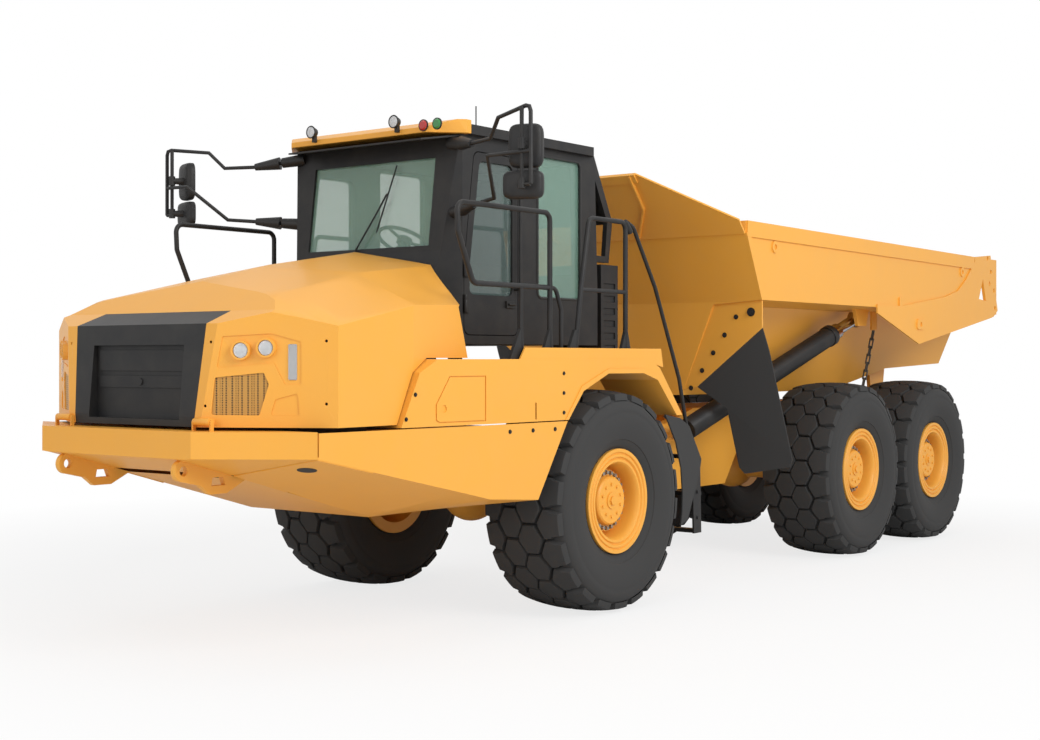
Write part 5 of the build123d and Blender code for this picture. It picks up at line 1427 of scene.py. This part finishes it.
class Fasteners:
    """Bolt heads that show on the big plates."""

    ROWS: dict[str, tuple[str, tuple[BoltRow, ...]]] = {
        "bed_bolts": ("bed", (
            BoltRow((-2.050, 1.190, 2.192), (-2.050, 0.751, 1.591), 5, (1, 0, 0), 0.016),
            BoltRow((-2.050, 1.332, 2.231), (-2.050, 1.332, 2.231), 1, (1, 0, 0), 0.028),
        )),
        "front_bolts": ("front", (
            BoltRow((2.270, 1.3545, 1.47), (2.190, 1.3590, 1.62), 2, (0, 1, 0), 0.010),
            BoltRow((0.697, 1.400, 1.47), (0.697, 1.400, 1.74), 3, (0, 1, 0), 0.010),
            BoltRow((1.300, 1.400, 1.36), (0.800, 1.400, 1.36), 3, (0, 1, 0), 0.011),
            BoltRow((-0.700, 1.392, 1.38), (-0.870, 1.392, 1.345), 2, (0, 1, 0), 0.012),
            BoltRow((-1.090, 1.392, 1.00), (-1.090, 1.392, 0.60), 3, (0, 1, 0), 0.012),
        )),
    }

    def build(self) -> None:
        """Build every row, both sides."""
        for name, (body, rows) in self.ROWS.items():
            shape = Shape(name).use(Palette.BLACK)
            for bolts in rows:
                for side in SIDES.values():
                    bolts.add(shape, side)
            shape.build(body, 30)
        LOG.info("fasteners: %d groups", len(self.ROWS))


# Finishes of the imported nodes

@dataclass
class Paintwork:
    """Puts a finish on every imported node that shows."""

    weld_distance: float = 0.00005
    rounding: float = 0.005
    left_sharp: tuple[str, ...] = ("tyre", "cab_glass", "door_glass", "belly")

    FINISHES: ClassVar[dict[str, Surface]] = {
        "rim": Palette.YELLOW, "cab_glass": Palette.GLASS, "door_glass": Palette.SMOKE,
        "cab_roof": Palette.YELLOW, "cab_inside": Palette.PLASTIC, "cab_": Palette.BLACK,
        "mirrors": Palette.BLACK, "handrails": Palette.BLACK, "ladders": Palette.BLACK,
        "grille": Palette.BLACK, "headlamps": Palette.LENS, "hood_mesh": Palette.PUNCHED,
        "roof_lamps": Palette.BLACK, "mud_flaps": Palette.FLAP, "hoist_barrel": Palette.BLACK,
        "hoist": Palette.CHROME, "steer_barrel": Palette.BLACK, "steer_rod": Palette.CHROME,
        "power_unit": Palette.CAST, "chains": Palette.CAST, "filter_box": Palette.BLACK,
    }

    def finish_of(self, node: str) -> Surface:
        """The finish of one node, by the start of its name."""
        return next((f for start, f in self.FINISHES.items() if node.startswith(start)), Palette.YELLOW)

    def apply(self) -> None:
        """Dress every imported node."""
        for name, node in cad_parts.items():
            node.data.materials.clear()
            node.data.materials.append(self.finish_of(name).material())
            weld = node.modifiers.new("weld", "WELD")
            weld.merge_threshold = self.weld_distance
            if not name.startswith(self.left_sharp):
                round_edges(node, self.rounding)
        LOG.info("paintwork: %d nodes", len(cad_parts))


# Studio

@dataclass(frozen=True)
class SoftLamp:
    """A square lamp that looks at the machine's middle."""

    name: str
    place: Point
    size: float
    power: float
    aim: Point = (0.0, 0.0, 1.2)

    def hang(self) -> None:
        """Hang the lamp."""
        data = bpy.data.lights.new(self.name, "AREA")
        data.shape = "SQUARE"
        data.size = self.size
        data.energy = self.power
        made = in_scene(self.name, data)
        made.location = self.place
        made.rotation_euler = (Vector(self.place) - Vector(self.aim)).to_track_quat("Z", "Y").to_euler()


@dataclass
class Studio:
    """The floor, the light and the camera."""

    camera_place: Point = (11.2456, 7.6176, 1.8379)
    camera_yaw: float = 217.62
    focal_pixels: float = 1535.4
    image_width: int = 1040
    image_height: int = 740
    horizon_pixel: float = 359.155
    sensor: float = 36.0
    daylight: float = 0.55
    floor_half: float = 60.0
    floor_grey: float = 0.82
    floor_share: float = 0.78
    floor_near: float = 4.5
    floor_far: float = 9.0
    lamps: tuple[SoftLamp, ...] = (
        SoftLamp("key", (4.0, 14.0, 9.0), 8.0, 1400.0),
        SoftLamp("front_fill", (15.0, 0.0, 5.0), 8.0, 290.0),
        SoftLamp("top", (0.0, 0.0, 14.0), 10.0, 260.0),
    )

    def camera(self) -> None:
        """Place the camera where the picture was taken from."""
        data = bpy.data.cameras.new("camera")
        data.sensor_width = self.sensor
        data.lens = self.focal_pixels / self.image_width * self.sensor
        data.shift_y = (self.horizon_pixel - self.image_height / 2) / self.image_width
        made = in_scene("camera", data)
        made.location = self.camera_place
        made.rotation_euler = (math.radians(90), 0, math.radians(self.camera_yaw - 90))
        bpy.context.scene.camera = made

    def floor(self) -> None:
        """Lay a pale floor that keeps the machine's shadow and fades to white round it."""
        shape = bmesh.new()
        bmesh.ops.create_grid(shape, x_segments=1, y_segments=1, size=self.floor_half)
        data = bpy.data.meshes.new("floor")
        shape.to_mesh(data)
        shape.free()
        made = in_scene("floor", data)
        finish = bpy.data.materials.new("floor_white")
        nodes = Nodes(finish, empty=True)
        grey = self.floor_grey
        matt = nodes.add("BsdfDiffuse", {"Color": (grey, grey, grey, 1)}).outputs[0]
        white = nodes.add("Emission", {"Color": (1, 1, 1, 1)}).outputs[0]
        place = nodes.add("TexCoord").outputs["Object"]
        away = nodes.add("VectorMath", {0: place}, operation="LENGTH").outputs["Value"]
        fade = nodes.add("MapRange", {"Value": away, "From Min": self.floor_near, "From Max": self.floor_far,
                                      "To Min": self.floor_share, "To Max": 1.0}).outputs["Result"]
        seen = nodes.add("LightPath").outputs["Is Camera Ray"]
        share = nodes.add("Math", {0: seen, 1: fade}, operation="MULTIPLY").outputs[0]
        mix = nodes.add("MixShader", {"Fac": share, 1: matt, 2: white}).outputs[0]
        nodes.add("OutputMaterial", {"Surface": mix})
        data.materials.append(finish)

    def sky(self) -> None:
        """Make the surroundings white to the eye and softer to the machine."""
        world = bpy.data.worlds.new("studio")
        bpy.context.scene.world = world
        nodes = Nodes(world, empty=True)
        white = nodes.add("Background", {"Strength": 1.0, "Color": (1, 1, 1, 1)}).outputs[0]
        soft = nodes.add("Background", {"Strength": self.daylight, "Color": (1, 1, 1, 1)}).outputs[0]
        rays = nodes.add("LightPath").outputs
        direct = nodes.add("Math", {0: rays["Is Camera Ray"], 1: rays["Is Glossy Ray"]}, operation="MAXIMUM")
        seen = nodes.add("Math", {0: direct.outputs[0], 1: rays["Is Transmission Ray"]}, operation="MAXIMUM")
        mix = nodes.add("MixShader", {"Fac": seen.outputs[0], 1: soft, 2: white}).outputs[0]
        nodes.add("OutputWorld", {"Surface": mix})

    def build(self) -> None:
        """Set up the studio."""
        self.camera()
        self.floor()
        self.sky()
        for lamp in self.lamps:
            lamp.hang()
        bpy.context.scene.view_settings.view_transform = "Standard"
        LOG.info("studio: %d lamps", len(self.lamps))


def main() -> None:
    """Build the machine's looks in order."""
    logging.basicConfig(level=logging.INFO, format="%(name)s: %(message)s")
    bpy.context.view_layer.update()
    Studio().build()
    Paintwork().apply()
    Tyres().build_all()
    WheelHardware().build_all()
    CabInside().build()
    CabTrim().build()
    Mirrors().build()
    BellyFairings().build()
    Guards().build()
    PodLamps().build()
    RoofLamps().build()
    Fasteners().build()


if __name__ == "__main__":
    main()
